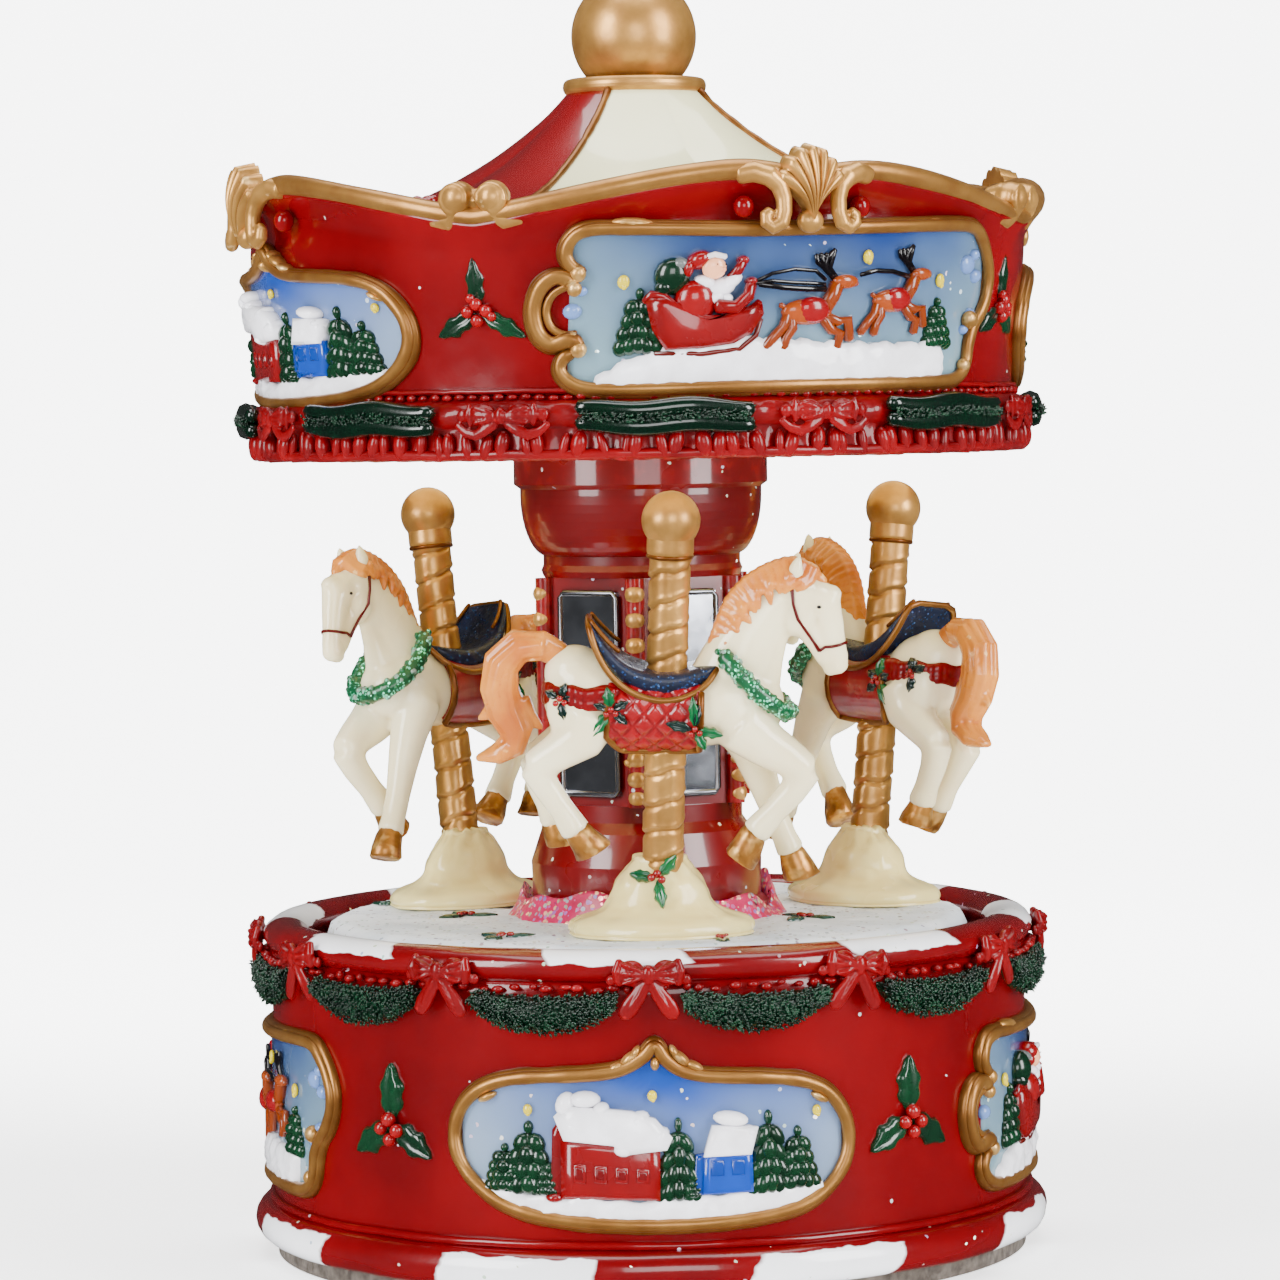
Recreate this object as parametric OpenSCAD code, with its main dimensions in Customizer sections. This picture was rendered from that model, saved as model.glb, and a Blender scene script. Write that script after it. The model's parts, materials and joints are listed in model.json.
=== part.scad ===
// Carousel music box: a cast base with a wind-up musical movement inside it, and a turntable
// with horses, a mirrored column and a canopy that the spring barrel turns.
// Origin: centre of the foot's underside. +Z up, -Y is the front. Millimetres.

/* [Base] */
// Outer radius of the base wall
base_r = 49.2; // [44:0.1:60]
// Height of the base casting, from the foot to the top of the rim
base_h = 41.4; // [39:0.1:52]
// Thickness of the base wall
base_wall = 3.4; // [2.5:0.1:5]
// Thickness of the felt foot
foot_h = 2; // [1:0.1:4]
// Width of the felt foot's ring
foot_w = 3; // [2:0.1:3.2]
// Depth of the recess for the key, above the foot
key_room = 10; // [9:0.1:12]
// Depth from the rim's top down to the deck
deck_drop = 7.4; // [6.5:0.1:9]
// Thickness of the deck
deck_t = 3; // [2:0.1:4]
// Half width and half height of the rim at the top of the base
rim_half = [3, 2.1]; // [1:0.1:4]
// Half width and half height of the moulding at the foot of the base
toe_half = [2.6, 2.6]; // [1:0.1:4]

/* [Turntable] */
// Gap between the rim and the turntable
rim_gap = 2.4; // [1:0.1:4]
// Thickness of the turntable
turntable_t = 5; // [4:0.1:6]
// Step from the rim's top down to the turntable's top
rim_reveal = 0.4; // [0:0.1:2]

/* [Column] */
// Height of the column, from the turntable to the ceiling of the canopy
column_h = 60.6; // [58:0.1:75]
// Radius of the column's shaft, over its six corner beads
column_r = 15.2; // [14:0.1:17]
// Width, height and thickness of a mirror plate
mirror = [8.6, 26, 1.2]; // [1:0.1:30]

/* [Canopy] */
// Radius of the frieze wall at its foot
frieze_r = 48.2; // [44:0.1:58]
// Thickness of the frieze wall
frieze_wall = 3; // [2:0.1:4]
// Height of the frieze wall, from the border to the wave's low points
frieze_h = 21.4; // [20:0.1:28]
// Height of the border below the frieze
border_h = 7.4; // [6:0.1:9]
// How far the wave's crests rise above its low points
crest_h = 5.2; // [3:0.1:7]
// How far the lip leans out past the wall's foot
lip_out = 4; // [2:0.1:6]
// Height of the roof, from the wave's low points to the collar
roof_rise = 17.8; // [12:0.1:22]
// Radius of the roof under the collar
roof_neck_r = 8.6; // [7:0.1:10]
// Radius of the finial ball
finial_r = 8.1; // [6:0.05:10]
// Angle of the frieze's first shell, seen from above
shell_angle = -67; // [-90:1:0]

/* [Horses] */
// Radius of a pole at the saddle
pole_r = 2.75; // [2:0.05:3.2]
// Radius of a pole's ball
pole_ball_r = 3.65; // [3:0.05:4.2]
// Height of a ball's centre above the turntable
pole_h = 52.2; // [50:0.1:54]
// Length, width and height of a pole's mound
mound = [22.8, 17.2, 9]; // [6:0.1:26]
// Outward lean of poles and horses, in degrees
lean_out = 6.4; // [0:0.1:8]

/* [Movement] */
// Radius of the spring barrel
barrel_r = 10.6; // [10:0.1:11]
// Height of the spring barrel
barrel_h = 11; // [9:0.1:12]
// Teeth on the barrel's crown, and on the cylinder's pinion that it drives
crown_teeth = 36; // [36]
pinion_teeth = 12; // [12]
// Teeth on the cylinder's gear, and on the governor's pinion that it drives
gear_teeth = 40; // [40]
leaf_teeth = 12; // [12]
// Teeth on the governor's worm wheel
worm_wheel_teeth = 30; // [30]
// Radius of the drive shaft
shaft_r = 1.6; // [1.4:0.05:2]
// Radius of the pinned cylinder
tune_r = 5.4; // [4.5:0.1:5.8]
// Length of the pinned cylinder
tune_len = 15; // [12:0.1:15.5]

/* [Hidden] */
$fn = 64;
// Clearances
run_gap = 0.05;   // radial gap of a shaft that turns in a bore
fit_gap = 0.1;    // gap around a piece that is dropped in and glued or screwed
free_gap = 0.7;   // least gap between a turning piece and a still one above or below it

// Heights
base_z = foot_h;
rim_top = base_z + base_h;
deck_top = rim_top - deck_drop;
deck_bottom = deck_top - deck_t;
cover_t = 2;
cover_z = base_z + key_room;
bed_z = cover_z + cover_t;
bed_t = 1.5;
bed_top = bed_z + bed_t;
turntable_top = rim_top - rim_reveal;
turntable_z = turntable_top - turntable_t;
column_top = turntable_top + column_h;
ceiling_t = 2;
border_drop = 1;
border_z = column_top - border_drop;
frieze_z = border_z + border_h;
lip_low = frieze_z + frieze_h;
roof_top = lip_low + roof_rise;
collar_h = 2;
finial_sink = 0.32;   // share of the ball's radius that sits in its collar
finial_z = roof_top + collar_h + finial_r * (1 - finial_sink);

// Radii
base_in = base_r - base_wall;
wall_hollow = 0.5;    // how far the wall's middle curves in
rim_r = base_r + 0.8 - rim_half[0];
rim_in = rim_r - rim_half[0];
turntable_r = rim_in - rim_gap;
turntable_round = 1.6;
foot_out = base_r - 0.4;
foot_in = foot_out - foot_w;
border_r = frieze_r + 1.8;
ceiling_r = frieze_r - frieze_wall;

// Plaques: thickness of the plate and the frame, and width of the frame
plaque_t = 1.2;
plaque_frame_t = 2.2;
plaque_frame_w = 1.8;
// Shells on the frieze: radius, and how far the centre lies below the crest
shell_r = 4.2;
shell_drop = 2.6;
sleigh_top = frieze_h + crest_h - shell_drop - shell_r - 0.2;
// Each one's angle, half width in degrees, bottom and top above its wall's foot
base_plaques = [[-90, 28.8, 8.2, 27.6], [0, 36.5, 7.6, 28], [90, 28.8, 8.2, 27.6], [180, 36.5, 7.6, 28]];
frieze_plaques = [[shell_angle, 38.5, 0.8, sleigh_top], [shell_angle + 90, 32, 0.6, 18.4],
                  [shell_angle + 180, 38.5, 0.8, sleigh_top], [shell_angle + 270, 32, 0.6, 18.4]];
bow_count = 12;
swag_h = 5;
swag_t = 2.2;
swag_z = rim_top - 2 * rim_half[1] - 0.2 - swag_h;

// Horses: angle of the pole's foot, its radius, the turn of the horse from the tangent, forward lean
horse_places = [[-86.5, 27, -3.5, 2.2], [20, 30.6, 15, 0], [148, 28.4, -8, 0]];
horse_z = 28.6;      // height of the barrel's middle above the turntable
pole_foot = 6.2;     // how high the pole's end sits in its mound
horse_fn = 14;

// Movement: the crown on the barrel, and the cylinder's axis above it
crown_r = 12.75;
crown_pitch = 2 * PI * crown_r / crown_teeth;
crown_tooth_h = 1.3;
crown_depth = 1.9;
flange_t = 1.3;
flange_z = bed_top + free_gap;
flange_top = flange_z + flange_t;
barrel_wall = 0.8;
barrel_top = flange_top + barrel_h;
pinion_r = crown_r * pinion_teeth / crown_teeth;
pinion_module = 2 * pinion_r / pinion_teeth;
pinion_w = 1.1;
axis_z = flange_top + crown_tooth_h / 2 + pinion_r + 0.15;

// Along the cylinder's arbor
post_t = 0.8;
post_w = 2.4;
arbor_pin_r = 0.6;
pinion_x = crown_r - pinion_w / 2;
post_a = pinion_x + pinion_w + 1;
tune_x = post_a + post_t + 1;
gear_w = 1.4;
gear_x = tune_x + tune_len + 0.8;
post_b = gear_x + gear_w + 0.6;
arbor_end = post_b + post_t + 0.2;

// The governor: its wheel on a level arbor, its worm and fan on an upright one
gear_module = 0.3;
gear_r = gear_module * gear_teeth / 2;
leaf_r = gear_module * leaf_teeth / 2;
wheel_y = gear_r + leaf_r + 0.06;
worm_module = 0.4;
wheel_r = worm_module * worm_wheel_teeth / 2;
wheel_w = 0.8;
wheel_x = post_b + post_t + 1.2;
worm_lead = PI * worm_module;
worm_turns = 3;
worm_core = 0.93;     // radius of the round that is twisted into the worm
worm_wave = 0.36;     // how far it stands off the worm's axis
wheel_gap = 0.95;     // from the wheel's pitch circle to the worm's axis
worm_y = wheel_y + wheel_r + wheel_gap;
pivot_r = 0.5;
bridge_z = deck_bottom - 1.1;
bridge_t = 0.7;
fan_h = 2.2;
fan_r = 3.9;
fan_z = bridge_z - 0.4 - fan_h;
stand_y = worm_y + fan_r + 1.4;
bed_holes = [[-12, 13.5], [-12, -13.5], [26, 17]];
bed_hole_r = 1;

// The comb
comb_t = 0.9;
comb_gap = 0.65;      // from the cylinder to the tips of the comb
comb_y = tune_r + 9;
comb_root = tune_r + 13.2;
comb_holes = [tune_x + tune_len * 0.25, tune_x + tune_len * 0.75];
comb_hole_r = 0.9;

// The drive shaft and the key
shaft_end = turntable_z + 3.2;
bush_r = 4.2;
hub_r = 7;
hub_t = 2.4;
arbor_r = 1.9;
arbor_top = flange_top + 5;
key_z = base_z + 0.4;
key_h = key_room - 1.8;
boss_r = 3.4;
boss_at = [for (a = [60, 180, 300]) (base_in - 5) * [cos(a), sin(a)]];
boss_hole_r = 1.1;

// ---- outlines ----

// Points along an ellipse, from angle a to angle b
function oval(c, half, a, b, n = 16) =
    [for (i = [0:n]) let (t = a + (b - a) * i / n) c + [half[0] * cos(t), half[1] * sin(t)]];

// The base wall and the frieze wall, as outlines that start at the foot
base_line = [[base_r, base_z + 7.5], [base_r - wall_hollow, base_z + base_h / 2], [base_r, rim_top - 2 * rim_half[1] - 2]];
frieze_line = [[frieze_r, frieze_z], [frieze_r + lip_out - 1, lip_low]];

function moved_out(line, d) = [for (p = line) p + [d, 0]];
function backwards(line) = [for (i = [len(line) - 1:-1:0]) line[i]];

// Angle of the involute at radius r of a base circle rb
function inv_angle(rb, r) = let (k = sqrt(max(0, pow(r / rb, 2) - 1))) k * 180 / PI - atan(k);

// One tooth of a spur gear, centred on angle c: its points from root to root
function tooth(teeth, m, slack, root, tip, c) =
    let (r = m * teeth / 2, rb = r * cos(20), rf = r - root * m, ra = r + tip * m, low = max(rb, rf),
         half = (90 - slack / (m * PI) * 180) / teeth + inv_angle(rb, r),
         flank = concat([[rf, half - inv_angle(rb, low)]],
                        [for (i = [0:4]) let (q = low + (ra - low) * i / 4) [q, half - inv_angle(rb, q)]]))
    concat([for (f = flank) f[0] * [cos(c - f[1]), sin(c - f[1])]],
           [for (f = backwards(flank)) f[0] * [cos(c + f[1]), sin(c + f[1])]]);

module spur(teeth, m, w, slack, root = 1.2, tip = 0.95) {
    linear_extrude(w) polygon([for (i = [0:teeth - 1]) each tooth(teeth, m, slack, root, tip, 360 * i / teeth)]);
}

// ---- placing ----

// Turns a piece so that its Z runs along X from x, on the cylinder's axis moved to y
module along_x(x, y = 0) {
    translate([x, y, axis_z]) rotate([0, 90, 0]) children();
}

module arc_slab(r0, r1, z0, z1, a0, a1) {
    rotate(a0) rotate_extrude(angle = a1 - a0) translate([r0, z0]) square([r1 - r0, z1 - z0]);
}

// Radius of a wall at height z, from its outline
function wall_r(line, z) = let (k = z < line[1][1] ? 0 : len(line) - 2, p = line[k], q = line[k + 1])
    p[0] + (q[0] - p[0]) * (z - p[1]) / (q[1] - p[1]);

// A slab on a wall from depth d0 to d1, between two heights and two angles
module wall_slab(line, d0, d1, z0, z1, a0, a1) {
    side = concat([[wall_r(line, z0), z0]], [for (p = line) if (p[1] > z0 && p[1] < z1) p], [[wall_r(line, z1), z1]]);
    rotate(a0) rotate_extrude(angle = a1 - a0) polygon(concat(moved_out(side, d0), backwards(moved_out(side, d1))));
}

module screw(r, len, head_r, head_h) {
    difference() {
        union() {
            cylinder(r = r, h = len);
            translate([0, 0, len]) cylinder(r = head_r, h = head_h);
        }
        translate([-head_r, -0.3, len + head_h - 0.5]) cube([2 * head_r, 0.6, 1]);
    }
}

// ---- base ----

module base_drum() {
    color("firebrick") rotate_extrude() polygon(concat(
        [[base_in, base_z]],
        oval([base_r - 0.2, base_z + toe_half[1]], toe_half, -90, 75),
        base_line,
        oval([rim_r, rim_top - rim_half[1]], rim_half, -40, 180, 24),
        [[rim_in, deck_top], [base_in, deck_top]]));
}

// The deck closes the base above the movement; three bosses hang from it to hold the cover
module base_deck() {
    color("firebrick") difference() {
        union() {
            translate([0, 0, deck_bottom]) cylinder(r = base_in, h = deck_t);
            for (p = boss_at) translate([p[0], p[1], bed_z]) cylinder(r = boss_r, h = deck_bottom - bed_z + 0.5);
        }
        translate([0, 0, deck_bottom - 1]) cylinder(r = bush_r, h = deck_t + 2);
        for (p = boss_at) translate([p[0], p[1], bed_z - 1]) cylinder(r = boss_hole_r, h = 9);
    }
}

module foot_pad() {
    color("dimgray") difference() {
        cylinder(r = foot_out, h = foot_h);
        translate([0, 0, -1]) cylinder(r = foot_in, h = foot_h + 2);
    }
}

module bottom_cover() {
    color("black") difference() {
        translate([0, 0, cover_z]) cylinder(r = base_in - fit_gap, h = cover_t);
        translate([0, 0, cover_z - 1]) cylinder(r = arbor_r + 1.2, h = cover_t + 2);
        for (p = boss_at) translate([p[0], p[1], cover_z - 1]) cylinder(r = boss_hole_r + fit_gap, h = cover_t + 2);
        for (p = bed_holes) translate([p[0], p[1], cover_z - 1]) cylinder(r = bed_hole_r + fit_gap, h = cover_t + 2);
    }
}

module cover_screws() {
    color("silver") for (p = boss_at) translate([p[0], p[1], bed_z + 6]) rotate([180, 0, 0])
        screw(boss_hole_r, cover_t + 6, 2.1, 1);
}

module shaft_bush() {
    color("goldenrod") difference() {
        union() {
            translate([0, 0, deck_bottom]) cylinder(r = bush_r, h = deck_t);
            translate([0, 0, deck_top]) cylinder(r = bush_r + 1.2, h = 0.6);
        }
        translate([0, 0, deck_bottom - 1]) cylinder(r = shaft_r + run_gap, h = deck_t + 3);
    }
}

// Swags of fir hang below the rim, with a ribbon bow over each join
module base_garland() {
    step = 360 / bow_count;
    color("darkgreen") for (i = [0:bow_count - 1]) rotate(step * (i + 0.5) - 90) {
        arc_slab(base_r + fit_gap, base_r + swag_t, swag_z + 1.6, swag_z + swag_h, -step * 0.36, step * 0.36);
        arc_slab(base_r + fit_gap + 0.2, base_r + swag_t - 0.3, swag_z, swag_z + 2.4, -step * 0.22, step * 0.22);
    }
    color("crimson") for (i = [0:bow_count - 1]) rotate(step * i - 90)
        arc_slab(base_r + 1, base_r + 3, swag_z + 2.4, swag_z + 8, -4.1, 4.1);
}

// An oblong plate with a raised frame, and a raised scene inside it
module plaque(line, place, z, sleigh) {
    a = place[0];
    half = place[1];
    z0 = z + place[2];
    z1 = z + place[3];
    h = z1 - z0;
    lap = plaque_t / 2;
    end_a = plaque_frame_w / line[0][0] * 180 / PI;
    color("lightsteelblue") wall_slab(line, 0, plaque_t, z0 + 0.2, z1 - 0.2, a - half + 0.2, a + half - 0.2);
    color("goldenrod") difference() {
        wall_slab(line, lap, plaque_frame_t, z0, z1, a - half, a + half);
        wall_slab(line, lap - 1, plaque_frame_t + 1, z0 + plaque_frame_w, z1 - plaque_frame_w,
                  a - half + end_a, a + half - end_a);
    }
    if (sleigh) color("brown") {
        relief(line, 1.4, a, half, [-0.74, 0.76], z0 + 1.2, z0 + 0.26 * h);
        for (s = [[-0.66, -0.48, 0.6], [-0.42, 0, 0.74], [0.12, 0.4, 0.66], [0.46, 0.7, 0.72]])
            relief(line, 2.6, a, half, s, z0 + 0.2 * h, z0 + s[2] * h);
    }
    else color("seagreen") {
        relief(line, 1.2, a, half, [-0.72, 0.72], z0 + 1.2, z0 + 0.22 * h);
        for (s = [[-0.66, -0.48, 0.55], [-0.42, 0.06, 0.62], [0.12, 0.24, 0.68], [0.3, 0.5, 0.62], [0.56, 0.7, 0.6]])
            relief(line, 1.9, a, half, s, z0 + 0.16 * h, z0 + s[2] * h);
    }
}

// A block of the scene: span gives its two ends as shares of the plaque's half width
module relief(line, depth, a, half, span, z0, z1) {
    wall_slab(line, plaque_t * 0.4, plaque_t + depth, z0, z1, a + half * span[0], a + half * span[1]);
}

module base_plaque(i) {
    plaque(base_line, base_plaques[i], base_z, i % 2 == 1);
}

// ---- movement: the still pieces ----

module movement_bed() {
    color("silver") difference() {
        intersection() {
            union() {
                translate([-16, -comb_root, bed_z]) cube([post_b + 26, comb_root + 22, bed_t]);
                for (x = [post_a, post_b]) translate([x, -post_w / 2, bed_z]) cube([post_t, post_w, axis_z - bed_z + 2]);
                translate([tune_x, -comb_root, bed_z]) cube([tune_len, 7.4, axis_z - bed_z]);
            }
            cylinder(r = base_in - 1.4, h = rim_top);
        }
        translate([0, 0, bed_z - 1]) cylinder(r = arbor_r + run_gap, h = bed_t + 2);
        for (p = bed_holes) translate([p[0], p[1], bed_z - 1]) cylinder(r = bed_hole_r, h = bed_t + 2);
        along_x(post_a - 1) cylinder(r = arbor_pin_r + run_gap, h = post_b - post_a + 4);
        for (x = comb_holes) translate([x, -comb_y, axis_z - 4]) cylinder(r = comb_hole_r, h = 5);
    }
}

// Eighteen steel teeth, cut from one plate
module comb() {
    pitch = tune_len / 18;
    color("lightgray") difference() {
        translate([tune_x, -comb_root, axis_z]) cube([tune_len, comb_root - tune_r - comb_gap, comb_t]);
        for (i = [1:17]) translate([tune_x + i * pitch - 0.11, -comb_y + 2, axis_z - 1]) cube([0.22, comb_y, 3]);
        for (x = comb_holes) translate([x, -comb_y, axis_z - 1]) cylinder(r = comb_hole_r + fit_gap, h = 3);
    }
}

module comb_screws() {
    color("goldenrod") for (x = comb_holes)
        translate([x, -comb_y, axis_z - 3.6]) screw(comb_hole_r, 3.6 + comb_t, 1.8, 1);
}

module bed_screws() {
    color("silver") for (p = bed_holes)
        translate([p[0], p[1], bed_top]) rotate([180, 0, 0]) screw(bed_hole_r, bed_t + cover_t, 2, 1);
}

// One bent plate holds the governor's wheel between two ears and its worm under an arm
module governor_bracket() {
    ear_t = 0.8;
    ear_w = 3.2;
    x0 = wheel_x - 1.9;
    x1 = wheel_x + 1.9;
    y0 = wheel_y - ear_w / 2;
    foot_t = 0.9;
    color("goldenrod") difference() {
        union() {
            translate([x0, y0, bed_top]) cube([x1 - x0, stand_y + 1.2 - y0, foot_t]);
            for (x = [x0, x1 - ear_t]) translate([x, y0, bed_top]) cube([ear_t, ear_w, axis_z - bed_top + 1.6]);
            translate([x0, stand_y, bed_top]) cube([x1 - x0, 1.2, bridge_z + bridge_t - bed_top]);
            translate([wheel_x - 1.4, worm_y - 1.4, bridge_z]) cube([2.8, stand_y - worm_y + 2, bridge_t]);
        }
        translate([wheel_x - 0.9, y0 - 1, bed_top - 1]) cube([1.8, worm_y - 1.6 - y0, 3]);
        along_x(x0 - 1, wheel_y) cylinder(r = pivot_r + run_gap, h = x1 - x0 + 2);
        translate([wheel_x, worm_y, bed_top - 1]) cylinder(r = pivot_r + run_gap, h = bridge_z + 3 - bed_top);
    }
}

// ---- movement: the turning pieces ----

module spring_barrel() {
    color("silver") difference() {
        translate([0, 0, flange_top]) cylinder(r = barrel_r, h = barrel_h);
        translate([0, 0, flange_top + barrel_wall]) cylinder(r = barrel_r - barrel_wall, h = barrel_h - 2 * barrel_wall);
        translate([0, 0, flange_top - 1]) cylinder(r = arbor_r + run_gap, h = 3);
        translate([0, 0, barrel_top - 2]) cylinder(r = shaft_r, h = 3);
    }
}

// A crown of teeth that stands on the barrel's flange
module barrel_crown() {
    foot = crown_pitch / 4 - 0.1;
    tip = crown_pitch / 4 - 0.42;
    edge = crown_r + crown_depth / 2;
    color("goldenrod") {
        difference() {
            translate([0, 0, flange_z]) cylinder(r = edge, h = flange_t);
            translate([0, 0, flange_z - 1]) cylinder(r = arbor_r + run_gap, h = flange_t + 2);
        }
        for (i = [0:crown_teeth - 1]) rotate(i * 360 / crown_teeth) translate([edge - 0.1, 0, flange_top - 0.05])
            rotate([90, 0, -90]) linear_extrude(crown_depth - 0.1)
                polygon([[-foot, 0], [foot, 0], [tip, crown_tooth_h + 0.05], [-tip, crown_tooth_h + 0.05]]);
    }
}

// A spiral strip that stands on the barrel's floor
module mainspring() {
    steps = 140;
    strip = 0.35;
    r0 = arbor_r + 0.5;
    r1 = barrel_r - barrel_wall - strip - 0.2;
    function spiral(i, out) = let (r = r0 + (r1 - r0) * i / steps + out, t = 18 * i) [r * cos(t), r * sin(t)];
    color("dimgray") translate([0, 0, flange_top + barrel_wall]) linear_extrude(barrel_h - 2 * barrel_wall - 0.4)
        polygon(concat([for (i = [0:steps]) spiral(i, 0)], [for (i = [steps:-1:0]) spiral(i, strip)]));
}

module drive_shaft() {
    color("silver") {
        translate([0, 0, barrel_top - barrel_wall]) cylinder(r = shaft_r, h = shaft_end - barrel_top + barrel_wall);
        translate([0, 0, barrel_top]) cylinder(r = shaft_r + 1.6, h = 0.8);
    }
}

// Three hundred and sixty degrees of tune, in eighteen rings of short pins
module tune_cylinder() {
    color("gold") union() {
        along_x(tune_x) cylinder(r = tune_r, h = tune_len);
        along_x(pinion_x) cylinder(r = arbor_pin_r, h = arbor_end - pinion_x);
        for (i = [0:17], k = [0:2]) let (turn = ((i * 7 + k * 13) % 9) * 40 + k * 11 + i * 3)
            along_x(tune_x + (i + 0.5) * tune_len / 18) rotate(turn)
                translate([tune_r - 0.3, -0.12, -0.12]) cube([0.62, 0.24, 0.24]);
    }
}

module cylinder_pinion() {
    color("silver") along_x(pinion_x) difference() {
        rotate(180 / pinion_teeth) spur(pinion_teeth, pinion_module, pinion_w, 0.42, tip = 0.65);
        translate([0, 0, -1]) cylinder(r = arbor_pin_r, h = pinion_w + 2);
    }
}

module cylinder_gear() {
    color("silver") along_x(gear_x) difference() {
        rotate(90) spur(gear_teeth, gear_module, gear_w, 0.12);
        translate([0, 0, -1]) cylinder(r = arbor_pin_r, h = gear_w + 2);
    }
}

module governor_wheel() {
    leaf_x = gear_x - 0.2;
    leaf_w = gear_w + 0.4;
    color("goldenrod") union() {
        along_x(leaf_x, wheel_y) rotate(-90 + 180 / leaf_teeth) spur(leaf_teeth, gear_module, leaf_w, 0.12);
        along_x(wheel_x - wheel_w / 2, wheel_y) rotate(90)
            spur(worm_wheel_teeth, worm_module, wheel_w, 0.34, root = 1.1, tip = 0.7);
        along_x(leaf_x + 0.1, wheel_y) cylinder(r = pivot_r, h = wheel_x + 2.3 - leaf_x);
    }
}

// The worm is one round thread: a round that stands off the axis, twisted once for each lead
module governor_worm() {
    color("silver") translate([wheel_x, worm_y, 0]) {
        translate([0, 0, axis_z - worm_turns * worm_lead / 2]) rotate(90 + 180 * worm_turns)
            linear_extrude(worm_turns * worm_lead, twist = -360 * worm_turns, slices = 16 * worm_turns, $fn = 12)
                translate([worm_wave, 0]) circle(r = worm_core, $fn = 12);
        translate([0, 0, bed_top + 0.1]) cylinder(r = pivot_r, h = bridge_z + bridge_t - bed_top - 0.1);
    }
}

module governor_fan() {
    color("lightgray") translate([wheel_x, worm_y, fan_z]) difference() {
        union() {
            cylinder(r = 1.1, h = fan_h);
            for (side = [0, 180]) rotate(side) translate([0.8, -0.15, 0]) cube([fan_r - 0.8, 0.3, fan_h]);
        }
        translate([0, 0, -1]) cylinder(r = pivot_r, h = fan_h + 2);
    }
}

module winding_arbor() {
    color("silver") translate([0, 0, key_z + 2]) cylinder(r = arbor_r, h = arbor_top - key_z - 2);
}

// A butterfly key on a round hub
module winding_key() {
    color("lightgray") difference() {
        union() {
            translate([0, 0, key_z]) cylinder(r = 3.2, h = key_h);
            for (side = [-1, 1]) translate([side * 6.2, 0, key_z + 3.9]) rotate([90, 0, 0]) difference() {
                scale([1.25, 1, 1]) cylinder(r = 3.8, h = 1.6, center = true);
                scale([1.25, 1, 1]) cylinder(r = 2, h = 3, center = true);
            }
        }
        translate([0, 0, key_z + 2]) cylinder(r = arbor_r, h = key_h);
    }
}

// ---- turntable and column ----

module turntable() {
    hole = shaft_end - turntable_z + 0.3;
    color("whitesmoke") difference() {
        rotate_extrude() polygon(concat(
            [[0, turntable_z], [turntable_r - turntable_round, turntable_z], [turntable_r, turntable_z + 1]],
            oval([turntable_r, turntable_top] - turntable_round * [1, 1], turntable_round * [1, 1], 0, 90, 8),
            [[0, turntable_top]]));
        translate([0, 0, turntable_z - 1]) cylinder(r = shaft_r + fit_gap, h = hole + 1);
        translate([0, 0, turntable_z - 1]) cylinder(r = hub_r, h = hub_t + 1);
    }
}

module turntable_hub() {
    color("goldenrod") difference() {
        union() {
            translate([0, 0, turntable_z]) cylinder(r = hub_r, h = hub_t);
            translate([0, 0, deck_top + 0.6 + free_gap]) cylinder(r = 3.4, h = turntable_z - deck_top - free_gap);
        }
        translate([0, 0, deck_top]) cylinder(r = shaft_r, h = 10);
    }
}

// A six-sided shaft on a bell foot, under a bowl that carries the canopy
column_foot_h = 14.8;
column_head_h = 16.6;
bead_r = 1.2;
corner_r = column_r - bead_r;
face_r = (corner_r - 0.2) * cos(30);
column_turn = -34 - 90;

module column() {
    z0 = turntable_top;
    z1 = z0 + column_foot_h;
    z2 = column_top - column_head_h;
    color("firebrick") difference() {
        union() {
            rotate_extrude() polygon([
                [0, z0], [15.8, z0], [15.9, z0 + 1.6], [14.9, z0 + 2.4], [14.9, z0 + 4], [15, z0 + 7],
                [13.6, z0 + 11.2], [12.6, z0 + 12.6], [12.6, z1], [0, z1]]);
            rotate(column_turn + 30) translate([0, 0, z1 - 0.01]) {
                linear_extrude(z2 - z1 + 0.02)
                    polygon([for (i = [0:5]) (corner_r - 0.2) * [cos(60 * i), sin(60 * i)]]);
                for (i = [0:5]) rotate(60 * i) translate([corner_r, 0, 0]) cylinder(r = bead_r, h = z2 - z1 + 0.02);
            }
            rotate_extrude() polygon(concat(
                [[0, z2], [12.8, z2], [13.1, z2 + 0.8], [12.8, z2 + 1.6]],
                oval([12.2, column_top - 6], [3.5, 8], -80, 0, 10),
                [[15.7, column_top - 5.2], [16.5, column_top - 4.6], [16.5, column_top], [0, column_top]]));
        }
        for (i = [0:5]) mirror_seat(i, fit_gap / 2);
    }
}

module mirror_seat(i, gap) {
    rotate(column_turn + 60 * i) translate([face_r - 0.6, -mirror[0] / 2 - gap, turntable_top + 16.2 - gap])
        cube([mirror[2], mirror[0] + 2 * gap, mirror[1] + 2 * gap]);
}

module mirror_plate(i) {
    color("gainsboro") mirror_seat(i, 0);
}

// ---- canopy ----

module ceiling() {
    color("ivory") translate([0, 0, column_top]) cylinder(r = ceiling_r, h = ceiling_t);
}

// The border: a gathered fringe below a round band
module border() {
    color("crimson") rotate_extrude() polygon(concat(
        [[ceiling_r, border_z], [border_r - 1, border_z], [border_r - 0.4, border_z + 0.6], [border_r - 0.9, border_z + 3.4]],
        oval([border_r - 0.9, border_z + 5.2], [1.3, 1.8], -90, 80, 8),
        [[frieze_r, frieze_z], [ceiling_r, frieze_z]]));
}

module frieze_wall() {
    color("firebrick") rotate_extrude() polygon(concat(frieze_line, [[ceiling_r, lip_low], [ceiling_r, frieze_z]]));
}

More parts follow.
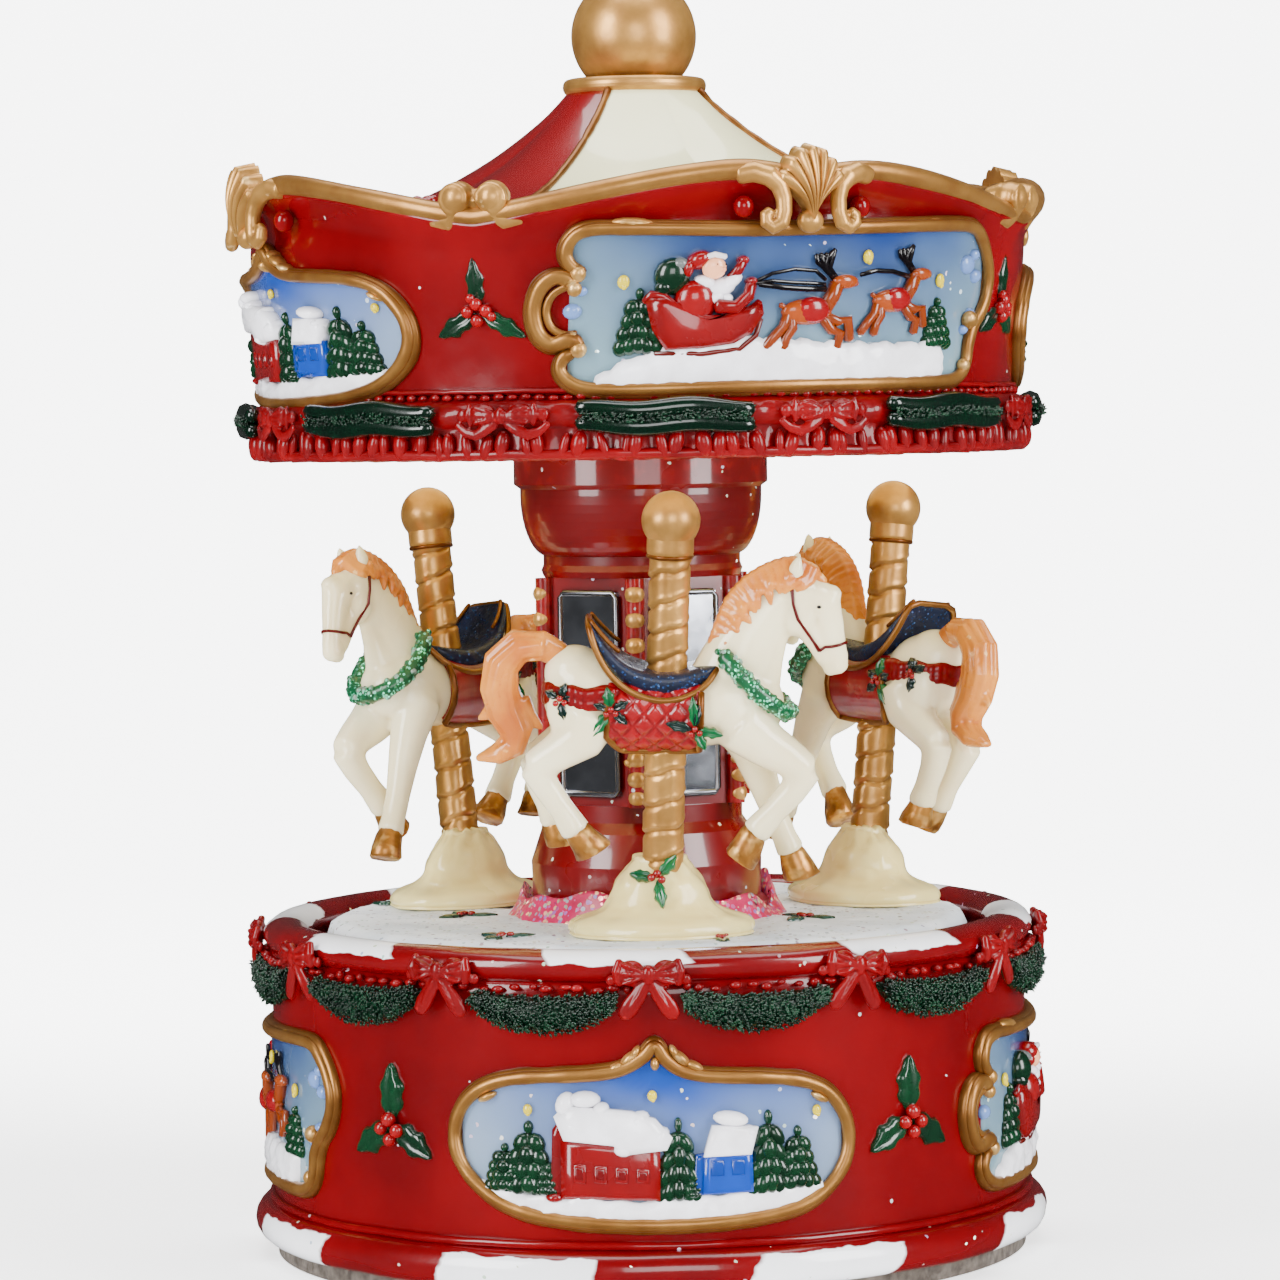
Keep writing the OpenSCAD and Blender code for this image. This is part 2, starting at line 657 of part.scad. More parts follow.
// The lip stands on the frieze wall and follows a wave: a crest at each shell, low between them
function lip_rise(t) = 0.8 + crest_h * (0.5 + 0.5 * cos(4 * (t - shell_angle)));

module frieze_lip() {
    n = 96;
    r = frieze_r + lip_out;
    ring = [[ceiling_r + 0.6, 0], [r - 1.1, 0], [r, 0.5], [r, 1], [r - 1.6, 1], [ceiling_r + 1.4, 0.6]];
    k = len(ring);
    points = [for (i = [0:n - 1]) let (t = 360 * i / n) for (p = ring)
        [p[0] * cos(t), p[0] * sin(t), lip_low + p[1] * lip_rise(t)]];
    faces = [for (i = [0:n - 1], j = [0:k - 1]) let (a = i * k, b = ((i + 1) % n) * k, q = (j + 1) % k)
        each [[a + j, a + q, b + q], [a + j, b + q, b + j]]];
    color("goldenrod") polyhedron(points, faces);
}

// Scallop shells on the crests and pairs of scrolls on the low points
module shells() {
    r = frieze_r + lip_out - 0.4;
    color("darkgoldenrod") for (i = [0:3]) rotate(shell_angle + 90 * i) {
        translate([r, 0, lip_low + crest_h - shell_drop]) rotate([0, 90, 0]) cylinder(r = shell_r, h = 2.4);
        rotate(45) for (side = [-2.3, 2.3]) rotate(side)
            translate([r, 0, lip_low + 2]) rotate([0, 90, 0]) cylinder(r = 1.7, h = 2);
    }
}

// A four-sided tent with hollow flanks; its corners meet the scroll pairs
function roof_line(s) = [roof_neck_r + (ceiling_r - roof_neck_r) * s,
                         lip_low + roof_rise * (1 - s) * (1 - 0.96 * s + 0.34 * s * s)];
function flank(t, s) = 1 - 0.14 * (1 - abs(cos(2 * (t - shell_angle - 45)))) * sin(180 * min(1, s * 1.1));

module roof() {
    n = 48;
    rows = 12;
    wall = 1.8;
    function at(i, j, drop) = let (s = j / rows, t = 360 * i / n, p = roof_line(s), r = p[0] * flank(t, s))
        [r * cos(t), r * sin(t), p[1] - drop];
    function id(i, j, under) = under * (rows + 1) * n + j * n + i % n;
    points = [for (drop = [0, wall], j = [0:rows], i = [0:n - 1]) at(i, j, drop)];
    skins = [for (u = [0, 1], j = [0:rows - 1], i = [0:n - 1])
        let (a = id(i, j, u), b = id(i + 1, j, u), c = id(i + 1, j + 1, u), d = id(i, j + 1, u))
        each u == 0 ? [[a, c, d], [a, b, c]] : [[a, d, c], [a, c, b]]];
    edges = [for (j = [0, rows], i = [0:n - 1])
        let (a = id(i, j, 0), b = id(i + 1, j, 0), c = id(i + 1, j, 1), d = id(i, j, 1))
        each j == 0 ? [[a, c, b], [a, d, c]] : [[a, b, c], [a, c, d]]];
    color("ivory") polyhedron(points, concat(skins, edges));
}

module finial() {
    color("darkgoldenrod") union() {
        translate([0, 0, finial_z]) sphere(r = finial_r);
        rotate_extrude() polygon(concat([[0, roof_top]],
            oval([roof_neck_r, roof_top + collar_h / 2], [0.7, collar_h / 2], -90, 90, 8), [[0, roof_top + collar_h]]));
    }
}

module frieze_plaque(i) {
    plaque(frieze_line, frieze_plaques[i], frieze_z, i % 2 == 0);
}

// ---- horses ----

// Puts a figure on the turntable at its place: its +X is the horse's heading, its -Y is outward
module placed(i) {
    p = horse_places[i];
    rotate(p[0]) translate([p[1], 0, turntable_top]) rotate(90 + p[2]) children();
}

module leaned(i) {
    rotate([lean_out, horse_places[i][3], 0]) children();
}

module mound(i) {
    color("wheat") placed(i) difference() {
        scale([1, mound[1] / mound[0], 1]) rotate_extrude($fn = 96) polygon([
            [0, 0], [mound[0] / 2 - 0.8, 0], [mound[0] / 2, 0.9], [mound[0] / 2 - 0.9, 1.8], [mound[0] * 0.3, 3],
            [mound[0] * 0.2, 5], [mound[0] * 0.18, mound[2] - 1], [mound[0] * 0.16, mound[2]], [0, mound[2]]]);
        leaned(i) translate([0, 0, pole_foot]) cylinder(r = pole_r, h = mound[2] + 3);
    }
}

module pole(i) {
    color("darkgoldenrod") placed(i) leaned(i) union() {
        translate([0, 0, pole_foot]) cylinder(r = pole_r, h = pole_h - pole_foot);
        translate([0, 0, pole_h]) sphere(r = pole_ball_r);
    }
}

// A limb or neck: a chain of balls, each [x, y, z, radius] with z above the barrel's middle, joined by hulls
module chain(balls) {
    for (k = [0:len(balls) - 2]) hull() for (b = [balls[k], balls[k + 1]])
        translate([b[0], b[1], horse_z + b[2]]) sphere(r = b[3], $fn = horse_fn);
}

module horse(i) {
    color("floralwhite") placed(i) leaned(i) difference() {
        union() {
            chain([[-9.6, 0, 1.4, 5.4], [-2, 0, 0, 4.9], [7, 0, 1.2, 5.1]]);
            chain([[8.6, 0, 2.8, 4.4], [13.4, 0, 10.2, 3], [16, 0, 14.2, 2.4]]);
            chain([[16.6, 0, 13.8, 2.5], [20.2, 0, 6.6, 1.6]]);
            chain([[-14, 0, 5.8, 1.9], [-19.8, 0, 5.6, 1.8], [-22, 0, -0.4, 1.8], [-23, 0, -6, 1.1]]);
            chain([[9, -2.2, -1, 3], [17, -2.4, -7, 1.8], [10.6, -2.4, -16.6, 1.6]]);
            chain([[8.4, 2.2, -1.4, 3], [13.6, 2.2, -10.4, 1.6], [16.2, 2.2, -19.8, 1.6]]);
            chain([[-9.6, -2.4, -1.2, 3.8], [-17, -2.4, -7.6, 1.8], [-11, -2.4, -17.2, 1.8]]);
            chain([[-10, 2.4, -1.2, 3.8], [-17.6, 2.4, -8, 1.8], [-13.8, 2.4, -16.6, 1.8]]);
        }
        cylinder(r = pole_r, h = 90);
    }
}

// ---- nodes ----

base_drum();
base_deck();
foot_pad();
bottom_cover();
cover_screws();
shaft_bush();
base_garland();
movement_bed();
comb();
comb_screws();
bed_screws();
governor_bracket();
spring_barrel();
barrel_crown();
mainspring();
drive_shaft();
turntable();
turntable_hub();
column();
ceiling();
frieze_wall();
frieze_lip();
border();
shells();
roof();
finial();
tune_cylinder();
cylinder_pinion();
cylinder_gear();
governor_wheel();
governor_worm();
governor_fan();
winding_arbor();
winding_key();
for (i = [0:3]) {
    base_plaque(i);
    frieze_plaque(i);
}
for (i = [0:5]) mirror_plate(i);
for (i = [0:2]) {
    mound(i);
    pole(i);
    horse(i);
}
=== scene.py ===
import json
import math
import random
from math import cos, pi, sin

import bpy
from mathutils import Matrix, Vector
from mathutils.bvhtree import BVHTree
from mathutils.noise import noise

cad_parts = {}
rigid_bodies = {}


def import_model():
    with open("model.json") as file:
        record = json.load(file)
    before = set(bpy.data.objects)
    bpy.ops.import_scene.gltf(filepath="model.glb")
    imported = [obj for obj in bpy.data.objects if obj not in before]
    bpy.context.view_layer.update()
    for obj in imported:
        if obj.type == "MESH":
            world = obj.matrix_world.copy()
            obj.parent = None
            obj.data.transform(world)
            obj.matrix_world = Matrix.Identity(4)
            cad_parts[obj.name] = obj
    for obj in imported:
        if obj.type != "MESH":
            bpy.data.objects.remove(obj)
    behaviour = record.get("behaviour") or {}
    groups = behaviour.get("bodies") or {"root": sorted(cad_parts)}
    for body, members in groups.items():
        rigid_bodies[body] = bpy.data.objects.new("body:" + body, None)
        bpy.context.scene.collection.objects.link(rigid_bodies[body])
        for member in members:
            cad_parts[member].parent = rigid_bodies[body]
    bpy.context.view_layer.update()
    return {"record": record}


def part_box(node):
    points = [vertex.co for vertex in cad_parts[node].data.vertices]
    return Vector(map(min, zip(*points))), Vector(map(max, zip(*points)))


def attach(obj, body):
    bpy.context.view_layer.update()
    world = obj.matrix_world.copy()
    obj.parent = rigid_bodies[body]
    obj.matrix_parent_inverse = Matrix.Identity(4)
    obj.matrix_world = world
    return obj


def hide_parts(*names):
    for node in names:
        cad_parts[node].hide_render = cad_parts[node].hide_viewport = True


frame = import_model()
mm = 0.001
tau = math.tau


# places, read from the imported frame, in millimetres
def low(node):
    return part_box(node)[0][2] / mm


def high(node):
    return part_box(node)[1][2] / mm


rimTop = high("base_drum")
footTop = high("foot_pad")
snowTop = high("turntable")
friezeZ = low("frieze_wall")
lipLow = high("frieze_wall")

base = {"wall": 49.2, "inner": 45.8, "rim": 47.0, "rimHalf": (3.0, 2.1), "toe": 49.0, "toeHalf": 2.6}
canopy = {"wall": 48.2, "lean": 3.0, "inner": 45.2, "crest": 5.2, "shellAngle": -67}


# clay: a pile of vertices and faces that becomes one piece

def turn(degrees, axis="Z"):
    return Matrix.Rotation(math.radians(degrees), 4, axis)


def shift(x=0, y=0, z=0):
    return Matrix.Translation((x, y, z))


def stretch(x, y, z):
    return Matrix.Diagonal((x, y, z, 1))


def show(obj):
    bpy.context.scene.collection.objects.link(obj)


class Clay:
    def __init__(self):
        self.verts, self.faces, self.paint = [], [], []

    def add(self, verts, faces, colour=(1, 1, 1), place=None):
        start = len(self.verts)
        if place is None:
            self.verts.extend(tuple(v) for v in verts)
        else:
            self.verts.extend(tuple(place @ Vector(v)) for v in verts)
        self.paint.extend([colour] * len(verts) if not isinstance(colour, list) else colour)
        if place is not None and place.determinant() < 0:
            faces = [f[::-1] for f in faces]
        self.faces.extend(tuple(start + i for i in f) for f in faces)

    def grid(self, point, nu, nv, loopU=False, loopV=False, colour=(1, 1, 1), place=None, flip=False):
        # point(i, j) for i in 0..nu and j in 0..nv; a loop leaves out its last row
        cu, cv = nu + (0 if loopU else 1), nv + (0 if loopV else 1)
        verts = [point(i, j) for j in range(cv) for i in range(cu)]
        faces = []
        for j in range(nv):
            for i in range(nu):
                a, b = j * cu + i, j * cu + (i + 1) % cu
                c, d = (j + 1) % cv * cu + (i + 1) % cu, (j + 1) % cv * cu + i
                faces.append((d, c, b, a) if flip else (a, b, c, d))
        if callable(colour):
            colour = [colour(v) for v in verts]
        self.add(verts, faces, colour, place)

    def closeEnd(self, around, j, centre):
        # a fan of faces over row j of a tube that a grid made; row 0 is its lower end
        middle = len(self.verts)
        self.verts.append(centre)
        self.paint.append((1, 1, 1))
        for i in range(around):
            a, b = j * around + i, j * around + (i + 1) % around
            self.faces.append((middle, b, a) if j == 0 else (middle, a, b))

    def ball(self, centre, radius, colour=(1, 1, 1), place=None, n=10):
        # radius is one number or three
        r = (radius,) * 3 if isinstance(radius, (int, float)) else radius
        rows = max(4, n // 2 + 1)
        verts = [(0, 0, -1)]
        for j in range(1, rows):
            t = pi * j / rows - pi / 2
            verts += [(cos(t) * cos(tau * i / n), cos(t) * sin(tau * i / n), sin(t)) for i in range(n)]
        verts.append((0, 0, 1))
        faces = [(0, 1 + (i + 1) % n, 1 + i) for i in range(n)]
        for j in range(rows - 2):
            for i in range(n):
                a, b = 1 + j * n + i, 1 + j * n + (i + 1) % n
                faces.append((a, b, b + n, a + n))
        top = len(verts) - 1
        faces += [(top, top - n + i, top - n + (i + 1) % n) for i in range(n)]
        verts = [(centre[0] + v[0] * r[0], centre[1] + v[1] * r[1], centre[2] + v[2] * r[2]) for v in verts]
        self.add(verts, faces, colour, place)

    def rope(self, path, radius, colour=(1, 1, 1), place=None, n=10, flat=1.0, up=None, closed=False):
        # a round bar along path; radius is one number or one for each point; flat squashes it along up
        pts = [Vector(p) for p in path]
        count = len(pts)
        radii = [radius] * count if isinstance(radius, (int, float)) else radius
        side = None
        verts = []
        for k, p in enumerate(pts):
            ahead = pts[(k + 1) % count] if closed or k < count - 1 else p
            behind = pts[k - 1] if closed or k > 0 else p
            along = (ahead - behind).normalized()
            if up is not None:
                tall = Vector(up(p) if callable(up) else up)
                side = along.cross(tall).normalized()
            else:
                side = along.orthogonal() if side is None else (side - along * side.dot(along))
                side.normalize()
            tall = side.cross(along).normalized()
            for i in range(n):
                a = tau * i / n
                verts.append(p + side * (cos(a) * radii[k]) + tall * (sin(a) * radii[k] * flat))
        faces = []
        for k in range(count if closed else count - 1):
            for i in range(n):
                a, b = k * n + i, k * n + (i + 1) % n
                c, d = (k + 1) % count * n + (i + 1) % n, (k + 1) % count * n + i
                faces.append((a, b, c, d))
        if not closed:
            for k, sign in ((0, 1), (count - 1, -1)):
                tip = pts[k] + (pts[k] - pts[k + sign]).normalized() * radii[k] * 0.6
                verts.append(tip)
                for i in range(n):
                    a, b = k * n + i, k * n + (i + 1) % n
                    faces.append((len(verts) - 1, b, a) if sign > 0 else (len(verts) - 1, a, b))
        self.add(verts, faces, colour, place)

    def lathe(self, line, n, closed=False, wobble=None):
        # line is a list of (radius, height), from the bottom outside upwards
        def point(i, j):
            r, z = line[j % len(line)]
            a = tau * i / n
            if wobble:
                r, z = wobble(r, z, a)
            return (r * cos(a), r * sin(a), z)
        self.grid(point, n, len(line) if closed else len(line) - 1, True, closed)

    def plate(self, outline, z0, z1, colour=(1, 1, 1), place=None, dome=0.0):
        # a flat shape with a thickness; dome raises its middle
        n = len(outline)
        cx, cy = sum(p[0] for p in outline) / n, sum(p[1] for p in outline) / n
        verts = [(x, y, z0) for x, y in outline] + [(x, y, z1) for x, y in outline]
        verts += [(cx + (x - cx) * 0.72, cy + (y - cy) * 0.72, z1 + dome * 0.75) for x, y in outline]
        verts += [(cx, cy, z1 + dome), (cx, cy, z0)]
        faces = []
        for i in range(n):
            j = (i + 1) % n
            faces += [(i, j, n + j, n + i), (n + i, n + j, 2 * n + j, 2 * n + i),
                (2 * n + i, 2 * n + j, 3 * n), (j, i, 3 * n + 1)]
        self.add(verts, faces, colour, place)

    def wrap(self, mould):
        self.verts = [mould(v) for v in self.verts]

    def join(self, other, place=None):
        start = len(self.verts)
        self.verts.extend(tuple(place @ Vector(v)) if place is not None else v for v in other.verts)
        self.paint.extend(other.paint)
        back = place is not None and place.determinant() < 0
        self.faces.extend(tuple(start + i for i in (f[::-1] if back else f)) for f in other.faces)

    def mesh(self, name):
        data = bpy.data.meshes.new(name)
        data.from_pydata([(x * mm, y * mm, z * mm) for x, y, z in self.verts], [], self.faces)
        layer = data.attributes.new("paint", "FLOAT_COLOR", "POINT")
        layer.data.foreach_set("color", [c for p in self.paint for c in (*p, 1.0)])
        data.polygons.foreach_set("use_smooth", [True] * len(data.polygons))
        data.update()
        return data

    def piece(self, name, material, body, replaces=(), slot=None, keep=False):
        obj = bpy.data.objects.new(name, self.mesh(name))
        show(obj)
        obj.data.materials.append(material)
        return obj if keep else settle(obj, body, replaces, slot)


def moved(clay, place):
    copy = Clay()
    copy.join(clay, place)
    return copy


def settle(obj, body, replaces=(), slot=None):
    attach(obj, body)
    if replaces:
        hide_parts(*replaces)
    return obj


def applied(obj):
    # the evaluated mesh takes the place of the object's modifiers
    graph = bpy.context.evaluated_depsgraph_get()
    mesh = bpy.data.meshes.new_from_object(obj.evaluated_get(graph))
    obj.modifiers.clear()
    obj.data = mesh
    return obj


def sculpt(obj, voxel, smooth=6):
    # melts overlapping lumps into one skin, then relaxes it; the voxel size is in millimetres
    remesh = obj.modifiers.new("melt", "REMESH")
    remesh.mode = "VOXEL"
    remesh.voxel_size = voxel * mm
    remesh.use_smooth_shade = True
    relax = obj.modifiers.new("relax", "SMOOTH")
    relax.factor = 0.5
    relax.iterations = smooth
    material = obj.data.materials[0]
    applied(obj)
    obj.data.materials.clear()
    obj.data.materials.append(material)
    obj.data.polygons.foreach_set("use_smooth", [True] * len(obj.data.polygons))
    return obj


# colours and finishes

def rgb(r, g, b):
    # a colour given from 0 to 255, made linear
    return tuple(((c / 255 + 0.055) / 1.055) ** 2.4 if c > 10 else c / 255 / 12.92 for c in (r, g, b))


red, deepRed, gold, cream = rgb(108, 0, 7), rgb(60, 0, 3), rgb(204, 152, 80), rgb(242, 224, 150)
roofCream, ivory, amber, white = rgb(242, 240, 190), rgb(238, 228, 190), rgb(204, 128, 44), rgb(243,
    244, 248)
firGreen, leafGreen, wreathGreen = rgb(4, 34, 18), rgb(6, 48, 26), rgb(0, 92, 50)
navy, paleSky, starYellow = rgb(12, 22, 46), rgb(128, 152, 182), rgb(206, 184, 0)
deerBrown, houseBlue, skin, black = rgb(132, 52, 8), rgb(0, 54, 150), rgb(232, 160, 118), rgb(8, 7, 9)


def link(tree, a, b):
    tree.links.new(a, b)


def fill(tree, sockets, values):
    # a value is a number, a colour, or another node's output
    for key, value in values.items():
        socket = sockets[key]
        if hasattr(value, "is_output"):
            tree.links.new(value, socket)
        elif socket.type == "RGBA" and len(value) == 3:
            socket.default_value = (*value, 1.0)
        else:
            socket.default_value = value


def newNode(tree, kind, values=None, **settings):
    n = tree.nodes.new(kind)
    for key, value in settings.items():
        setattr(n, key, value)
    fill(tree, n.inputs, values or {})
    return n


def maths(tree, operation, a, b=0.0, c=None):
    n = newNode(tree, "ShaderNodeMath", {0: a, 1: b} if c is None else {0: a, 1: b, 2: c},
        operation=operation)
    return n.outputs[0]


def vectorMaths(tree, operation, values):
    return newNode(tree, "ShaderNodeVectorMath", values, operation=operation).outputs[0]


def blendColour(tree, factor, a, b, mode="MIX"):
    return newNode(tree, "ShaderNodeMix", {0: factor, 6: a, 7: b}, data_type="RGBA",
        blend_type=mode).outputs[2]


def blendValue(tree, factor, a, b):
    return newNode(tree, "ShaderNodeMix", {0: factor, 2: a, 3: b}, data_type="FLOAT").outputs[0]


def ramp(tree, value, low, high, start=0.0, end=1.0):
    return newNode(tree, "ShaderNodeMapRange", {"Value": value, 1: low, 2: high, 3: start,
        4: end}).outputs[0]


def cloud(tree, place, scale, detail):
    return newNode(tree, "ShaderNodeTexNoise", {"Vector": place, "Scale": scale,
        "Detail": detail}).outputs["Fac"]


def startGroup(name, inputs, outputs):
    tree = bpy.data.node_groups.new(name, "ShaderNodeTree")
    kinds = {"colour": "NodeSocketColor", "value": "NodeSocketFloat", "vector": "NodeSocketVector"}
    for label, kind, value in inputs:
        socket = tree.interface.new_socket(label, in_out="INPUT", socket_type=kinds[kind])
        socket.default_value = (*value, 1.0) if kind == "colour" else value
    for label, kind in outputs:
        tree.interface.new_socket(label, in_out="OUTPUT", socket_type=kinds[kind])
    return tree, tree.nodes.new("NodeGroupInput").outputs, tree.nodes.new("NodeGroupOutput").inputs


def makeCastPaint():
    # brushed paint on a cast surface: mottled colour, painted shade that darkens the recesses, worn high
    # edges, fine dimples
    t, given, out = startGroup("castPaint", [("Colour", "colour", red), ("Shade", "colour", deepRed),
        ("Worn", "colour", red), ("Scale", "value", 60.0), ("Mottle", "value", 0.5),
        ("Recess Shade", "value", 0.6), ("Wear", "value", 0.2), ("Gloss", "value", 0.25),
        ("Dimples", "value", 0.3)], [("Colour", "colour"), ("Roughness", "value"), ("Height", "value")])
    place = newNode(t, "ShaderNodeTexCoord").outputs["Object"]
    broad = cloud(t, place, given["Scale"], 4.0)
    fine = cloud(t, place, 2600.0, 3.0)
    dents = cloud(t, place, 520.0, 2.0)
    pointed = newNode(t, "ShaderNodeNewGeometry").outputs["Pointiness"]
    mottled = ramp(t, broad, 0.35, 0.68, 0.0, given["Mottle"])
    colour = blendColour(t, mottled, given["Colour"], given["Shade"])
    # painted shade: inward-curving places darken towards the shade colour, standing in for the shade that
    # falls in recesses
    hollow = ramp(t, pointed, 0.5, 0.43, 0.0, given["Recess Shade"])
    colour = blendColour(t, hollow, colour, given["Shade"])
    edge = ramp(t, pointed, 0.53, 0.6)
    chips = ramp(t, dents, 0.5, 0.62, 0.0, given["Wear"])
    link(t, blendColour(t, maths(t, "MULTIPLY", edge, chips), colour, given["Worn"]), out["Colour"])
    link(t, maths(t, "MULTIPLY_ADD", broad, 0.16, given["Gloss"]), out["Roughness"])
    height = maths(t, "ADD", maths(t, "MULTIPLY", dents, 0.75), maths(t, "MULTIPLY", fine, 0.25))
    link(t, maths(t, "MULTIPLY", height, given["Dimples"]), out["Height"])
    return t


def makeGlitter():
    # loose flakes that each catch the light their own way
    t, given, out = startGroup("glitterFlakes", [("Size", "value", 2400.0), ("Share", "value", 0.1),
        ("Tilt", "value", 1.0), ("Rainbow", "value", 0.3), ("Patch Scale", "value", 40.0),
        ("Patch Low", "value", 0.0), ("Patch High", "value", 0.1)],
        [("Mask", "value"), ("Colour", "colour"), ("Normal", "vector")])
    place = newNode(t, "ShaderNodeTexCoord").outputs["Object"]
    cells = newNode(t, "ShaderNodeTexVoronoi", {"Vector": place, "Scale": given["Size"]})
    parts = newNode(t, "ShaderNodeSeparateColor", {0: cells.outputs["Color"]}).outputs
    patch = cloud(t, place, given["Patch Scale"], 2.0)
    patch = ramp(t, patch, given["Patch Low"], given["Patch High"])
    share = maths(t, "MULTIPLY", given["Share"], patch)
    chosen = maths(t, "GREATER_THAN", share, parts[0])
    whole = maths(t, "LESS_THAN", cells.outputs["Distance"], 0.5)
    mask = maths(t, "MULTIPLY", chosen, whole)
    link(t, mask, out["Mask"])
    hue = newNode(t, "ShaderNodeCombineColor", {0: parts[1], 1: given["Rainbow"], 2: 1.0},
        mode="HSV").outputs[0]
    link(t, hue, out["Colour"])
    centred = vectorMaths(t, "SUBTRACT", {0: cells.outputs["Color"], 1: (0.5, 0.5, 0.5)})
    lean = vectorMaths(t, "SCALE", {0: centred, "Scale": maths(t, "MULTIPLY", mask, given["Tilt"])})
    normal = newNode(t, "ShaderNodeNewGeometry").outputs["Normal"]
    tipped = vectorMaths(t, "ADD", {0: normal, 1: lean})
    link(t, vectorMaths(t, "NORMALIZE", {0: tipped}), out["Normal"])
    return t


def makeStripes():
    # patches spaced round the axis, slanted, with hand-painted edges
    t, given, out = startGroup("roundPatches", [("Count", "value", 8.0), ("Share", "value", 0.5),
        ("Start", "value", 0.0), ("Slant", "value", 0.0), ("Wander", "value", 0.04),
        ("Low", "value", 0.0), ("High", "value", 1.0)], [("Mask", "value")])
    place = newNode(t, "ShaderNodeTexCoord").outputs["Object"]
    x, y, z = newNode(t, "ShaderNodeSeparateXYZ", {0: place}).outputs
    angle = maths(t, "DIVIDE", maths(t, "ARCTAN2", y, x), tau)
    rough = cloud(t, place, 220.0, 3.0)
    phase = maths(t, "ADD", maths(t, "MULTIPLY", angle, given["Count"]), given["Start"])
    phase = maths(t, "ADD", phase, maths(t, "MULTIPLY", z, given["Slant"]))
    phase = maths(t, "ADD", phase, maths(t, "MULTIPLY", maths(t, "SUBTRACT", rough, 0.5), given["Wander"]))
    away = maths(t, "ABSOLUTE", maths(t, "SUBTRACT", maths(t, "FRACT", phase), 0.5))
    edge = maths(t, "MULTIPLY", given["Share"], 0.5)
    nearEdge = maths(t, "SUBTRACT", edge, 0.008)
    farEdge = maths(t, "ADD", edge, 0.008)
    inside = ramp(t, away, nearEdge, farEdge, 1.0, 0.0)
    level = maths(t, "ADD", z, maths(t, "MULTIPLY", maths(t, "SUBTRACT", rough, 0.5), 0.0016))
    soft = 0.00012
    above = ramp(t, level, given["Low"], maths(t, "ADD", given["Low"], soft))
    below = ramp(t, level, given["High"], maths(t, "ADD", given["High"], soft), 1.0, 0.0)
    inside = maths(t, "MULTIPLY", inside, maths(t, "MULTIPLY", above, below))
    link(t, inside, out["Mask"])
    return t


castPaint, glitterFlakes, roundPatches = makeCastPaint(), makeGlitter(), makeStripes()


def groupNode(tree, group, values):
    return newNode(tree, "ShaderNodeGroup", values, node_tree=group).outputs


def sparkle(size, share, tilt, rainbow, patchScale=60.0, low=0.0, high=0.1):
    # how fine, how many, how far tipped and how coloured the flakes are, and where they gather
    return {"Size": size, "Share": share, "Tilt": tilt, "Rainbow": rainbow, "Patch Scale": patchScale,
        "Patch Low": low, "Patch High": high}


def finish(name, colour=red, shade=None, worn=None, scale=60, mottle=0.5, recessShade=0.6, wear=0.2,
        gloss=0.22, dimples=0.3, metal=0.0, coat=0.6, milky=0.0, painted=False, glitter=None,
        glitterColour=None, patches=None, bump=0.06, specular=0.3):
    m = bpy.data.materials.new(name)
    m.use_nodes = True
    t = m.node_tree
    shader = t.nodes["Principled BSDF"].inputs
    mainColour, dark = colour, shade or tuple(c * 0.45 for c in colour)
    if painted:
        mainColour = newNode(t, "ShaderNodeAttribute", attribute_name="paint").outputs["Color"]
        dark = blendColour(t, 1.0, mainColour, (0.55, 0.5, 0.48), "MULTIPLY")
    if patches:
        mask = groupNode(t, roundPatches, patches)["Mask"]
        mainColour = blendColour(t, mask, mainColour, white)
        dark = blendColour(t, mask, dark, tuple(c * 0.8 for c in white))
    paint = groupNode(t, castPaint, {"Colour": mainColour, "Shade": dark, "Worn": worn or colour,
        "Scale": float(scale), "Mottle": mottle, "Recess Shade": recessShade, "Wear": wear, "Gloss": gloss,
        "Dimples": dimples})
    outColour, outRough, outMetal, outNormal = paint["Colour"], paint["Roughness"], metal, None
    if glitter:
        flakes = groupNode(t, glitterFlakes, glitter)
        mask = flakes["Mask"]
        flakeColour = blendColour(t, 1.0, flakes["Colour"], glitterColour or white, "MULTIPLY")
        outColour = blendColour(t, mask, outColour, flakeColour)
        outRough = blendValue(t, mask, outRough, 0.18)
        outMetal = maths(t, "MULTIPLY", mask, 0.4)
        outNormal = flakes["Normal"]
    bumped = newNode(t, "ShaderNodeBump", {"Strength": 1.0, "Distance": bump * mm,
        "Height": paint["Height"]})
    if outNormal:
        link(t, outNormal, bumped.inputs["Normal"])
    fill(t, shader, {"Base Color": outColour, "Roughness": outRough, "Normal": bumped.outputs[0],
        "Metallic": outMetal, "Coat Weight": coat, "Specular IOR Level": specular, "Coat Roughness": 0.07})
    if milky:
        fill(t, shader, {"Subsurface Weight": milky, "Subsurface Radius": (1.0, 0.85, 0.6),
            "Subsurface Scale": 0.003})
    return m


redLacquer = finish("redLacquer", red, deepRed, rgb(138, 4, 10), 45, 0.6, 0.85, 0.35, 0.14, 0.4,
    coat=0.5, bump=0.1, specular=0.15, glitter=sparkle(1900.0, 0.004, 0.8, 0.15, 90.0, 0.45, 0.7))
columnRed = finish("columnRed", rgb(112, 0, 4), rgb(54, 0, 1), rgb(146, 12, 16), 60, 0.6, 0.8, 0.5, 0.2,
    0.4, glitter=sparkle(1900.0, 0.02, 1.2, 0.2, 120.0, 0.4, 0.65))
ribbonRed = finish("ribbonRed", rgb(112, 0, 6), rgb(66, 0, 3), rgb(150, 12, 20), 160, 0.6, 0.9, 0.5,
    0.26, 0.8, coat=0.35, specular=0.15, bump=0.09)
quiltRed = finish("quiltRed", rgb(132, 0, 10), rgb(66, 0, 3), rgb(160, 20, 28), 160, 0.5, 0.8, 0.5,
    0.22, 0.6)
